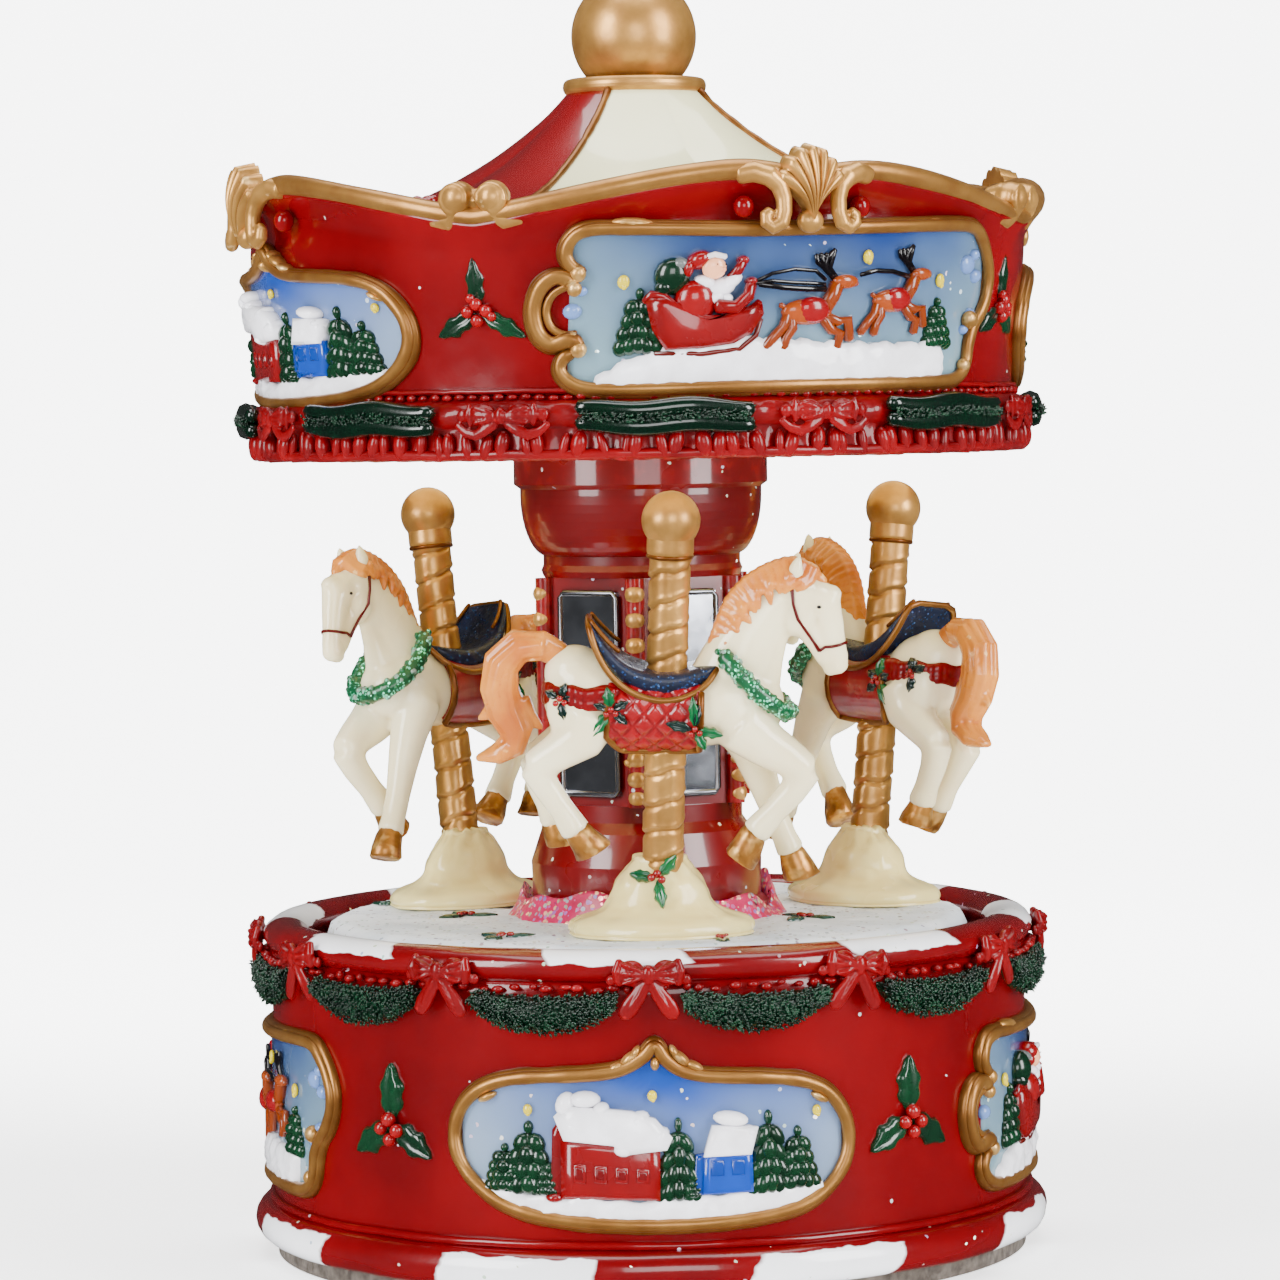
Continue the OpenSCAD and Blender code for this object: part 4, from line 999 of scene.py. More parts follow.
def villageScene():
    c = Clay()
    lowAt, _ = spanOf(villageFrame)

    def ground(x):
        return -5.9 - 0.9 * cos((x + 2) * 0.13) + 0.35 * sin(x * 0.5) + 0.25 * sin(x * 1.3)

    c.join(fillBetween(lowAt, ground, -22.6, 22.6, 60, 8, 0.9, roofWhite, 0.5, 0.5))
    # the red house: a long wall, a gable painted darker as painted shade on its side face, small shutters,
    # and a thick snowy roof with lumps on it
    slab(c, [(-11.2, -6.7), (1, -6.9), (1.1, -0.4), (-11.2, 0.6)], 1.5, houseRed)
    slab(c, [(-12.6, -6.4), (-10.9, -6.8), (-10.9, 3.6), (-12.3, 1.9)], 1.2, mixed(houseRed, black, 0.25))
    for k in range(4):
        x = -9.6 + 2.6 * k
        slab(c, [(x, -4.6), (x + 1.5, -4.7), (x + 1.5, -2.4 - 0.2 * k), (x, -2.3 - 0.2 * k)], 1.72,
            houseRed, dome=0.05)
        slab(c, [(x + 0.25, -4.2), (x + 1.2, -4.3), (x + 1.2, -2.8 - 0.2 * k),
            (x + 0.25, -2.7 - 0.2 * k)], 1.8, mixed(houseRed, black, 0.35), dome=0.0)
    blob(c, -12.2, -6.6, (1.3, 0.7), houseRed, 1.5)
    slab(c, [(-11.9, 3.6), (-10.7, 0.6), (-4.6, 0), (-3.4, -1.2), (-1, -0.9), (1.9, -0.6), (2.6, 0.9),
        (0.6, 3.2), (-2.4, 4.2), (-6.4, 4.6), (-10.6, 4.9)], 2.1, roofWhite, dome=0.7)
    for x, z, w, h, tilt in ((-10.6, 5, 1.3, 1.6, 20), (-8.2, 5.6, 2, 1.1, 0),
            (-6.2, 4.4, 1.1, 0.9, -20), (-1.9, 2.9, 1.9, 1.1, -28), (0.8, 0.9, 1.7, 1.1, -35),
            (-5.2, 1.4, 2.6, 1.3, -8), (-9.4, 2.2, 1.8, 1.4, 0), (-3.4, -0.6, 1.3, 0.9, 0)):
        blob(c, x, z, (w, h), roofWhite, 2.1, 12, tilt, 2)
    # the blue house, its side face painted darker as painted shade
    slab(c, [(6.3, -6.3), (12.6, -6.2), (12.5, -1.1), (6.5, -1.4)], 1.5, houseBlue)
    slab(c, [(5.2, -6.1), (6.4, -6.4), (6.6, -1.2), (5.5, -1.4)], 1.2, mixed(houseBlue, black, 0.25))
    for x in (7.3, 9.9):
        slab(c, [(x, -4), (x + 1.6, -4), (x + 1.6, -2.1), (x, -2.1)], 1.72,
            mixed(houseBlue, black, 0.25), dome=0.05)
    slab(c, [(6.4, -1.6), (12.3, -1.5), (13.2, 1.9), (7.6, 2.2)], 2, roofWhite, dome=0.6)
    blob(c, 9.8, 0.2, (2.6, 1.5), roofWhite, 2.1, 12, 0, 2)
    blob(c, 10, 2.9, (2.3, 1), roofWhite, 1.9, 12, 8, 1.8)
    blob(c, 12.2, 1.3, (1, 0.8), roofWhite, 2)
    for x, z, w, h, seed in ((-18.8, -5.8, 5.4, 5.6, 1), (-15.6, -6, 6.8, 8.6, 2),
            (-13.4, -6.2, 3.6, 4.6, 3), (3.4, -6.8, 5.4, 9.8, 4), (14.9, -6.3, 5.8, 9.8, 5),
            (18.8, -6, 5.6, 7.4, 6), (5, -6.6, 2.2, 3.2, 7)):
        firTree(c, x, z, w, h, seed)
    for x, z in ((-15.6, 4.2), (0.2, 6), (21.4, 3.3)):
        star(c, x, z)
    return c


def deer(c, x, z, size, seed):
    # a trotting deer that heads right, with a red blanket
    s = size
    rnd = random.Random(seed)
    brown = mixed(deerBrown, rgb(160, 72, 14), rnd.uniform(0, 0.5))

    def bar(pts, r, col):
        c.rope([(x + p[0] * s, -0.9 - (p[2] if len(p) > 2 else 0), z + p[1] * s) for p in pts], r * s,
            col, n=8)

    c.ball((x, -0.9, z), (3.4 * s, 1.2, 1.6 * s), brown, n=14)
    c.ball((x + 0.6 * s, -1.2, z + 0.2 * s), (2.3 * s, 1.3, 1.65 * s), rgb(124, 0, 8), n=14)
    bar([(2.3, 0.4), (3.3, 1.8), (3.9, 3.3)], 1.02, brown)
    c.ball((x + 4.9 * s, -1.2, z + 3.6 * s), (1.8 * s, 0.9, 0.88 * s), brown, turn(0, "Y"), 12)
    c.ball((x + 6.2 * s, -1.1, z + 3.4 * s), (0.62 * s, 0.5, 0.46 * s), mixed(brown, black, 0.2), n=8)
    for pts in ([(-2.4, 0.2), (-3, -1.8), (-3.9, -2.7), (-5.2, -4.3)],
            [(-2, -0.2), (-1.8, -2), (-2.6, -3.1), (-3, -4.5)],
            [(2.2, -0.4), (4.2, -1.2), (5.6, -0.9), (5.9, -3.4)],
            [(2, -0.6), (3.4, -2.2), (4.6, -2.6), (4.1, -4.3)]):
        bar(pts, 0.66, brown)
    for side, tip in ((0.3, 3.4), (1, 3.7)):
        bar([(3.9 - side * 0.4, 4), (3.1 - side, 5.2), (3.4 - side, 6.5), (tip - side * 0.3, 7.4)],
            0.36, reinDark)
        bar([(3.1 - side, 5.2), (2.1 - side, 5.9), (1.9 - side, 6.8)], 0.32, reinDark)
        bar([(3.3 - side, 6.2), (2.4 - side, 6.9)], 0.3, reinDark)
    bar([(-2.9, 0.5), (-3.5, 0.9)], 0.35, brown)


def riderScene():
    c = Clay()
    lowAt, _ = spanOf(sleighFrame)

    def ground(x):
        return (-8.3 + min(1, max(0, (x + 25) / 9)) ** 0.7 * 4.1 + 0.9 * math.exp(-((x + 5) / 7) ** 2)
            + 0.2 * sin(x * 1.7) + 0.15 * sin(x * 3.1))

    c.join(fillBetween(lowAt, ground, -25.2, 22.6, 60, 8, 1, roofWhite, 0.6, 0.5))
    coat = rgb(122, 0, 6)
    # the sleigh: a deep body with a curled front and a runner
    slab(c, [(-18.9, 1), (-17.6, 1.9), (-15.8, 1.2), (-13.2, -0.8), (-9.6, -1.3), (-7, -0.6),
        (-5.2, 0.9), (-4.9, -0.6), (-6.3, -2.9), (-8.4, -4.1), (-12, -4.6), (-16.4, -4.8), (-18, -2.4)],
        1.9, coat, dome=0.7)
    c.rope([(-19, -1.2, 1), (-18.2, -1.5, 1.9), (-16.8, -1.7, 1.6), (-14.8, -1.9, 0), (-12, -2, -1.1),
        (-9, -2, -1.2), (-6.8, -1.8, -0.4), (-5.4, -1.5, 0.8)], 0.5, coat, n=8)
    c.rope([(-17.6, -1.2, -5.2), (-12, -1.3, -5.3), (-7.6, -1.3, -4.8), (-5.6, -1.2, -3.2),
        (-5, -1, -1.2)], 0.34, rgb(96, 18, 8), n=8)
    # the sack and the rider, with a plain face of simple forms
    # the sack's upper lump is painted lighter as painted highlight and its lower side lump darker as painted
    # shade
    blob(c, -15.9, 4, (2.2, 2.3), firGreen, 1.9, 14, 15)
    blob(c, -15, 5.4, (1.2, 0.9), mixed(firGreen, white, 0.12), 1.8, 12)
    blob(c, -16.8, 2.6, (1.2, 1.1), mixed(firGreen, black, 0.3), 1.8, 12)
    blob(c, -13, 1, (2.7, 2.6), coat, 2.3, 14)
    blob(c, -12.8, 5.9, (1.6, 1.15), coat, 2.1, 14, -20)
    blob(c, -14.1, 4.9, (0.8, 1.2), coat, 2, 12, 10)
    c.ball((-11.1, -1.9, 4.9), (1.45, 0.95, 1.35), skin, n=16)
    c.ball((-10.1, -2.5, 4.7), (0.34, 0.34, 0.3), mixed(skin, rgb(214, 120, 100), 0.3), n=10)
    for x in (-10.9, -9.9):
        c.ball((x, -2.72, 5.3), (0.11, 0.08, 0.12), black, n=8)
    c.rope([(-12.4, -1.9, 6.1), (-11.2, -2.5, 6.5), (-9.9, -2.3, 6.2)], 0.36, roofWhite, n=8)
    for x, z, w, h, tilt in ((-11.9, 3.2, 1.5, 0.9, 20), (-10.2, 2.6, 2.1, 1.2, -14),
            (-9, 3.3, 1.7, 0.9, -30), (-10.8, 1.4, 1.5, 1, -20), (-9.4, 1.3, 0.9, 0.7, 10)):
        blob(c, x, z, (w, h), rgb(234, 232, 240), 2.2, 12, tilt, 1.9)
    c.rope([(-10.6, -2.2, 0.4), (-8.4, -2.3, 0.2), (-6.9, -2.1, 1.6), (-6.6, -1.9, 2.9)],
        [0.9, 0.85, 0.75, 0.7], coat, n=10)
    blob(c, -6.4, 3.3, (0.75, 0.6), coat, 2, 10)
    c.rope([(-9, -1.5, 3.6), (-8.2, -1.6, 4.6), (-7.7, -1.6, 5.5)], [0.7, 0.62, 0.62], coat, n=10)
    blob(c, -7.5, 5.8, (0.8, 0.65), coat, 1.7, 10)
    # reins
    for dz in (0, 0.9):
        c.rope([(-6.2, -1.9, 3.2 - dz * 0.2), (-4, -1.7, 4.2 - dz), (-1.2, -1.5, 4.7 - dz * 1.8),
            (1.6, -1.4, 4.5 - dz * 1.7), (3, -1.3, 3.4 - dz * 0.6)], 0.26, reinDark, n=6)
    c.rope([(-5.6, -1.9, 2.9), (-2.6, -1.8, 2.5), (0.6, -1.7, 2.3), (3, -1.5, 2.3)], 0.36, reinDark, n=6)
    c.rope([(7.8, -1.4, 4), (10, -1.4, 4.5), (12.6, -1.4, 4.4), (15.2, -1.3, 3.8)], 0.32, reinDark, n=6)
    deer(c, 0.9, -0.4, 1, 3)
    deer(c, 13, 0.9, 0.9, 8)
    firTree(c, -19.6, -4.9, 5.6, 7.4, 11)
    firTree(c, 21.2, -4.6, 5, 5.8, 12, green=rgb(4, 46, 24))
    for x, z in ((-21.6, 3.4), (9.2, 6.2), (21.4, 3.4)):
        star(c, x, z, 0.75)
    for x, z, r in ((27.2, 5.4, 1.5), (29.2, 4, 1.1), (28.6, 6.6, 0.9), (-27.6, 0, 1.2),
            (28.4, -0.6, 0.9), (-26.6, 2.4, 0.8), (27, -2.6, 0.8)):
        blob(c, x, z, (r, r * 0.8), mixed(paleSky, rgb(30, 90, 180), 0.5), 0.9)
    return c


villageClay, riderClay = villageScene(), riderScene()


def villageGold():
    c = frameBar(villageFrame, 0.85, 1.7, True)
    for side in (-1, 1):
        for k, (x, z, w, h, tilt) in enumerate(((3.2, 10.6, 1.5, 0.7, 40), (4.9, 9.6, 1.3, 0.6, 25),
                (2.4, 11.4, 1, 0.5, 60))):
            blob(c, 0.6 + side * x, z, (w, h), gold, 1.3, 12, side * tilt)
    blob(c, 0.6, 10, (0.6, 0.9), gold, 1.5, 10)
    blob(c, 21.8, 4.9, (1.3, 0.5), gold, 1.4, 10, 30)
    blob(c, -21, 5.6, (1.4, 0.5), gold, 1.3, 10, -25)
    return c


def riderGold():
    c = frameBar(sleighFrame, 0.8, 1.7)
    c.join(frameBar(sleighScroll, 0.95, 1.8))
    inner = [(p[0] + (1.5 if 1 < k < 7 else 0.6), p[1] * 0.72) for k, p in enumerate(sleighScroll)]
    c.join(frameBar(inner[1:-1], 0.5, 1.3, ridge=False))
    for x, z, r in ((-27, 4.4, 1), (-26.6, -4.6, 1), (-27.3, 2.6, 0.9), (27.6, -1.4, 1.15),
            (-27.4, -3.2, 0.8), (26.6, -7, 0.9)):
        c.ball((x, -1.1, z), (r, r, r), n=12)
    blob(c, -20.8, 10.3, (2.9, 0.75), gold, 1.2, 12, 4)
    blob(c, 19, 10.4, (2.2, 0.6), gold, 1.1, 12, -5)
    return c


def skySheet(outline, deep):
    lowAt, highAt = spanOf(outline)
    xs = [p[0] for p in outline]
    x0, x1 = min(xs) + 0.25, max(xs) - 0.25
    return fillBetween(lowAt, highAt, x0, x1, 90, 26, 0.35, skyColour(deep, x1))


def wallRadiusBase(z):
    t = min(1, max(0, (z - footTop) / (40 - footTop)))
    return base["wall"] - 0.35 * sin(pi * t)


def wallRadiusFrieze(z):
    return canopy["wall"] + canopy["lean"] * min(1, max(0, (z - friezeZ) / (lipLow + 1.5 - friezeZ))) ** 1.5


panels = {"baseVillages": (0, 180), "baseRiders": (90, -90), "friezeRiders": (23, 203),
    "friezeVillages": (-67, 113)}


def placePanels(name, radiusAt, villages, riders, villageZ, riderZ, villageFit, riderFit, body,
        replaced, slots):
    gilt, figures, skies = Clay(), Clay(), Clay()
    for angles, z, fit, parts in ((villages, villageZ, villageFit,
            (villageGold(), villageClay, skySheet(villageFrame, 0))),
            (riders, riderZ, riderFit, (riderGold(), riderClay, skySheet(sleighFrame, 1)))):
        for degrees in angles:
            mould = onWall(degrees, z, radiusAt)
            for target, part in zip((gilt, figures, skies), parts):
                laid = Clay()
                laid.join(part, stretch(fit[0], 0.9, fit[1]))
                laid.wrap(mould)
                target.join(laid)
    gilt.piece(name + "Frames", goldPaint, body, replaced, slots[0])
    figures.piece(name + "Scenes", handPaint, body, (), slots[1])
    skies.piece(name + "Skies", skyResin, body, (), slots[1])


placePanels("base", wallRadiusBase, panels["baseVillages"], panels["baseRiders"], 20, 19.8,
    (0.96, 0.98), (0.98, 1), "base", [f"base_plaque_{k}" for k in (1, 2, 3, 4)],
    ("gold_paint", "scene_resin"))
placePanels("frieze", wallRadiusFrieze, panels["friezeVillages"], panels["friezeRiders"], 118.6, 120.4,
    (1.08, 0.86), (1, 1), "carousel", [f"frieze_plaque_{k}" for k in (1, 2, 3, 4)],
    ("gold_paint", "scene_resin"))
print("raised scenes built")


# turntable, column, poles and mounds

disc = {"radius": 41.6, "under": 38.0}
snow = Clay()
line = [(8, disc["under"] + 0.4), (disc["radius"] - 1.4, disc["under"] + 0.1),
    (disc["radius"], disc["under"] + 1.6), (disc["radius"], snowTop - 1.8),
    (disc["radius"] - 0.5, snowTop - 0.6), (disc["radius"] - 1.7, snowTop)]
line += [(disc["radius"] - 1.7 - (disc["radius"] - 11.7) * k / 40, snowTop) for k in range(1, 41)]


def drift(r, z, a):
    p = Vector((r * cos(a), r * sin(a), z))
    lump = 0.28 * noise(p * 0.22) + 0.12 * noise(p * 0.9) + 0.05 * noise(p * 2.4)
    return r + (lump * 0.6 if r > 41 else 0), z + (lump if z > 42 else 0)


snow.lathe(line, 320, closed=True, wobble=drift)
snow.piece("snowDisc", snowPaint, "carousel", ("turntable",), "snow_paint")

prints = Clay()
rnd = random.Random(5)
greyLeaf = rgb(34, 66, 58)
for x, y, spin in ((-23.7, -2.2, 20), (20.1, -10.7, 150), (-6, 31, 250), (9, -33.5, 80), (-33, 14, 320),
        (30, 22, 200), (-18, -28, 40)):
    one = sprig([(0, 4.4, 2.4, greyLeaf), (110, 4.2, 2.3, greyLeaf),
        (-105, 4, 2.2, mixed(greyLeaf, leafGreen, 0.6))],
        [(0, 0.4, 0.6, berryRed), (0.8, -0.4, 0.55, berryRed), (-0.8, -0.3, 0.55, berryRed)], 0.95)
    prints.join(one, shift(x, y, snowTop + 0.05) @ turn(spin) @ turn(-90, "X") @ stretch(1, 0.55, 1))
prints.piece("snowHolly", handPaint, "carousel", (), "garland_paint")

post = {"turn": -124, "corner": 14.4, "face": 12.55, "mirror": (8.6, 26), "mirrorZ": 59.2, "bead": 1.22}


def makeBeadTree():
    t, given = startTree("beadRow", [("Radius", "Float"), ("Unevenness", "Float"),
        ("Finish", "Material"), ("Seed", "Int")])
    points = newNode(t, "GeometryNodeCurveToPoints", {"Curve": given["Geometry"]}, mode="EVALUATED")
    ball = newNode(t, "GeometryNodeMeshIcoSphere", {"Radius": given["Radius"], "Subdivisions": 3})
    most = maths(t, "ADD", given["Unevenness"], 1.0)
    least = maths(t, "SUBTRACT", 1.0, given["Unevenness"])
    size = anyFrom(t, least, most, given["Seed"])
    planted = newNode(t, "GeometryNodeInstanceOnPoints",
        {"Points": points.outputs["Points"], "Instance": ball.outputs["Mesh"], "Scale": size})
    return endTree(t, planted, given["Finish"])


beadRow = makeBeadTree()
cornerLines, mirrorFrames, columnTrim = [], Clay(), Clay()
for k in range(6):
    corner = post["turn"] + 30 + 60 * k
    foot = turn(corner) @ Vector((post["corner"], 0, 0))
    for heights in ((85, 81.7, 78.5), (64, 61.4, 59)):
        cornerLines.append([(foot.x, foot.y, z) for z in heights])
    for z, tilt in ((65.6, 25), (63, -25), (60.2, 20)):
        leaf = turn(corner) @ shift(post["corner"] + 0.2, 0, z) @ turn(tilt, "X")
        columnTrim.ball((0, 1.0 if tilt > 0 else -1, 0), (0.5, 0.9, 0.5), place=leaf, n=10)
    face = turn(post["turn"] + 60 * k) @ shift(post["face"], 0, post["mirrorZ"])
    w, h = post["mirror"][0] / 2, post["mirror"][1]
    ring = [(0, -w + 0.5, 0.1), (0, -w, 0.7), (0, -w, h - 0.7), (0, -w + 0.5, h - 0.1),
        (0, w - 0.5, h - 0.1), (0, w, h - 0.7), (0, w, 0.7), (0, w - 0.5, 0.1)]
    mirrorFrames.rope(ring, 0.42, place=face, n=8, up=(1, 0, 0), flat=0.7, closed=True)
grown("columnBeads", cornerLines, beadRow, {"Radius": post["bead"] * mm, "Unevenness": 0.06,
    "Finish": goldPaint, "Seed": 3}, "carousel", (), "gold_paint")
columnTrim.piece("columnLeaves", goldPaint, "carousel", (), "gold_paint")
mirrorFrames.piece("mirrorFrames", mirrorEdge, "carousel", (), "mirror")

# glitter drifts round the column's foot, thicker in some places
drifts = Clay()


def heap(i, j):
    a = tau * i / 200
    t = j / 10
    tall = 3.2 + 3.4 * noise(Vector((cos(a) * 1.6, sin(a) * 1.6, 2))) + 0.6 * sin(a * 9)
    r = 18.2 - 2.0 * t ** 0.7 + 0.25 * noise(Vector((cos(a) * 9, sin(a) * 9, t * 3)))
    return (r * cos(a), r * sin(a), snowTop - 0.2 + max(0.4, tall) * t)


drifts.grid(heap, 200, 10, True)
innerRing = [(15.0 * cos(tau * i / 200), 15.0 * sin(tau * i / 200), snowTop - 0.2) for i in range(200)]
start = len(drifts.verts)
drifts.verts += innerRing
drifts.paint += [(1, 1, 1)] * 200
for i in range(200):
    n = (i + 1) % 200
    drifts.faces += [(2000 + i, 2000 + n, start + n, start + i), (start + i, start + n, n, i)]
drifts.piece("footGlitter", pinkGlitter, "carousel", (), "snow_paint")

# the flared top of the column has patches of chipped cream paint on its edge
patches = Clay()
for degrees, width, z in ((-27, 2.6, 103), (12, 3.4, 103.1), (31, 2, 102.8), (150, 3, 103),
        (-120, 2.4, 102.9)):
    blobPlace = turn(degrees - 90) @ shift(16.6, 0, z)
    patches.ball((0, 0, 0), (0.35, width, 0.55), white, blobPlace, 12)
patches.piece("columnChips", creamPaint, "carousel", (), "cream_paint")

rides = [(-86.5, 27, -3.5, 2.2), (20, 30.6, 15, 0), (148, 28.4, -8, 0)]
lean = 6.4
pole = {"radius": 2.75, "low": 6.2, "high": 52.2, "ball": 3.65, "pitch": 3.6}


def placeOf(k, leaned=True):
    angle, radius, yaw, forward = rides[k]
    place = turn(angle) @ shift(radius, 0, snowTop) @ turn(90 + yaw)
    return place @ turn(forward, "Y") @ turn(lean, "X") if leaned else place


def poleClay(seed):
    c = Clay()
    rows, around = 150, 40
    span = pole["high"] - pole["low"] - 1.0

    def point(i, j):
        a, z = tau * i / around, pole["low"] + span * j / rows
        phase = (z / pole["pitch"] - a / tau + 0.16 * noise(Vector((cos(a), sin(a), z * 0.35 + seed)))) % 1
        groove = math.exp(-((min(phase, 1 - phase)) / 0.075) ** 2)
        lip = math.exp(-((phase - 0.14) / 0.08) ** 2)
        r = pole["radius"] * (0.93 + 0.05 * noise(Vector((cos(a) * 1.2, sin(a) * 1.2, z * 0.16 + seed))))
        r += 0.12 * lip - 0.34 * groove
        if z > pole["high"] - 4.6:
            r = pole["radius"] * (1.0 + 0.06 * (z > pole["high"] - 4.2))
        return (r * cos(a), r * sin(a), z)
    c.grid(point, around, rows, True)
    for j, z in ((0, pole["low"]), (rows, pole["low"] + span)):
        c.closeEnd(around, j, (0, 0, z))
    c.ball((0, 0, pole["high"]), pole["ball"], n=40)
    c.rope([(2.7 * cos(a), 2.7 * sin(a), pole["high"] - 4.4)
        for a in [tau * k / 24 for k in range(24)]], 0.3, n=8, closed=True)
    return c


def moundClay(seed):
    c = Clay()
    line = [(0.2, 0), (10.6, 0), (11.5, 0.5), (11.7, 1.1), (11.3, 1.8), (10.2, 2.3), (8.6, 2.8),
        (7.3, 3.5), (6.5, 4.5), (6.1, 5.6), (5.6, 6.7), (4.9, 7.7), (4.1, 8.6), (3.5, 9.3), (3.1, 9.9),
        (0.2, 10)]
    smooth = [(p[0], p[1]) for p in smoothLine(line, 4)]

    def melt(r, z, a):
        d = noise(Vector((cos(a) * 1.3 + seed, sin(a) * 1.3, z * 0.25)))
        e = noise(Vector((cos(a) * 3.1 + seed, sin(a) * 3.1, z * 0.6)))
        w = 0.5 + 0.5 * min(1, r / 8)
        return r * (1 + 0.05 * d * w + 0.02 * e), z * (1 + 0.05 * e)
    c.lathe(smooth, 120, wobble=melt)
    c.verts = [(x, y * 0.76, z) for x, y, z in c.verts]
    return c


for k in range(3):
    postClay = moved(poleClay(k * 7), placeOf(k))
    postClay.piece(f"spiralPole_{k + 1}", goldPaint, "carousel", (f"pole_{k + 1}",), "gold_paint")
    heapClay = moved(moundClay(k * 3 + 1), placeOf(k, False))
    heapClay.piece(f"meltedMound_{k + 1}", creamPaint, "carousel", (f"mound_{k + 1}",), "cream_paint")
moundHolly = Clay()
one = sprig([(40, 3.6, 1.9, rgb(0, 92, 46)), (-80, 3.2, 1.8, rgb(0, 74, 40)),
    (170, 3.8, 1.9, rgb(0, 92, 46))], [(0, 0.3, 0.55, berryRed), (0.6, -0.5, 0.5, berryRed),
    (-0.7, -0.2, 0.5, berryRed)])
moundHolly.join(one, placeOf(0, False) @ shift(-0.4, -4.1, 7.4) @ turn(-28, "X"))
moundHolly.piece("moundHolly", handPaint, "carousel", (), "garland_paint")
print("turntable, column and poles built")


# the canopy: band, fringe, frieze, wave and shells

fringe = {"outer": 49.9, "low": 102.6, "high": 106.4, "pleats": 132}
band = {"radius": 50.3, "low": 106.2}


def makePleatTree():
    t, given = startTree("fringePleats", [("Pleat Length", "Float"), ("Pleat Width", "Float"),
        ("Tilt", "Float"), ("Finish", "Material"), ("Seed", "Int")])
    points = newNode(t, "GeometryNodeCurveToPoints", {"Curve": given["Geometry"]}, mode="EVALUATED")
    ball = newNode(t, "GeometryNodeMeshIcoSphere", {"Radius": 1.0, "Subdivisions": 3})
    aim = newNode(t, "FunctionNodeAlignRotationToVector", {"Vector": points.outputs["Tangent"]},
        axis="X", pivot_axis="Z").outputs[0]
    angle = maths(t, "MULTIPLY", anyFrom(t, -1.0, 1.0, given["Seed"]), given["Tilt"])
    leaned = newNode(t, "FunctionNodeRotateRotation", {"Rotation": aim,
        "Rotate By": newNode(t, "FunctionNodeAxisAngleToRotation",
        {"Axis": (0, 1, 0), "Angle": angle}).outputs[0]}, rotation_space="LOCAL").outputs[0]
    vary = anyFrom(t, 0.65, 1.35, maths(t, "ADD", given["Seed"], 7.0))
    wide = maths(t, "MULTIPLY", given["Pleat Width"], vary)
    size = newNode(t, "ShaderNodeCombineXYZ", {0: wide, 1: wide, 2: given["Pleat Length"]}).outputs[0]
    planted = newNode(t, "GeometryNodeInstanceOnPoints",
        {"Points": points.outputs["Points"], "Instance": ball.outputs["Mesh"], "Rotation": leaned,
        "Scale": size})
    return endTree(t, planted, given["Finish"])


fringePleats = makePleatTree()
bandLine = [(canopy["inner"], fringe["low"]), (fringe["outer"] - 0.6, fringe["low"]),
    (fringe["outer"] - 0.1, fringe["low"] + 0.5), (fringe["outer"] - 0.5, 104.4),
    (fringe["outer"] - 0.5, fringe["high"])]
bandLine += [(band["radius"] - 0.9 + 0.9 * sin(pi * k / 10),
    band["low"] + 0.3 + 3.1 * k / 10) for k in range(11)]
bandLine += [(48.4, friezeZ - 0.1), (48.3, friezeZ + 0.4), (canopy["inner"], friezeZ + 0.2)]


def crumple(r, z, a):
    p = Vector((r * cos(a), r * sin(a), z))
    fold = 0.25 * noise(p * 0.5) + 0.14 * noise(p * 1.7)
    if z < 106.3 and r > 47:
        fold += 0.26 * sin(a * 104 + 5 * noise(p * 0.1))
    return (r + fold if r > 47 else r), z + (0.22 * noise(p * 0.8) if z < 103.4 and r > 47 else 0)


bandClay = Clay()
bandClay.lathe(bandLine, 720, closed=True, wobble=crumple)
bandClay.lathe(ovalBar(fringe["outer"] - 0.35, fringe["low"] + 0.75, (0.75, 0.65), 12), 400,
    closed=True, wobble=hand(11, 0.35))
bandClay.piece("borderBand", ribbonRed, "carousel", ("border",), "red_paint")
rnd = random.Random(21)
ring = []
for k in range(fringe["pleats"]):
    a = 360 * (k + rnd.uniform(-0.35, 0.35)) / fringe["pleats"]
    ring.append(polar(fringe["outer"] - 0.05, a, 104.4 + rnd.uniform(-0.15, 0.35)))
grown("fringePleats", [ring + [ring[0]]], fringePleats,
    {"Pleat Length": 1.7 * mm, "Pleat Width": 0.8 * mm, "Tilt": 0.34, "Finish": ribbonRed, "Seed": 4},
    "carousel", (), "red_paint")
scallops = Clay()
for k in range(176):
    a = 360 * k / 176
    h = rnd.uniform(0.32, 0.55)
    scallops.ball((0, 0, 0), (0.5, 0.75, h), place=turn(a) @ shift(48.6, 0,
        friezeZ + 0.25 + rnd.uniform(-0.1, 0.15)), n=8)
scallops.lathe(ovalBar(48.55, friezeZ + 1, (0.28, 0.3), 8), 260, closed=True, wobble=hand(4, 0.5))
scallops.piece("borderScallops", ribbonRed, "carousel", (), "red_paint")

barCore, barLines = Clay(), []
for k in range(8):
    middle = 3.5 + 45 * k
    for row, z in enumerate((106.8, 108.7)):
        path = [polar(51, middle + s * 11.8, z + 0.25 * sin(s * 5 + k))
            for s in [i / 20 * 2 - 1 for i in range(21)]]
        barCore.rope(path, [1.2 * (0.75 + 0.3 * sin(pi * i / 20)) for i in range(21)], n=8)
        barLines.append(linePoints(path, 0.34))
    middlePath = [polar(51.9, middle + s * 11.4, 107.75 + 0.2 * sin(s * 4 + k))
        for s in [i / 20 * 2 - 1 for i in range(21)]]
    barLines.append(linePoints(middlePath, 0.34))
barCore.piece("bandStems", firPaint, "carousel", (), "garland_paint")
grown("bandNeedles", barLines, firNeedles, needleValues(9, 0.62, 1.5, 0.3, 0.9, 9), "carousel", (),
    "garland_paint")


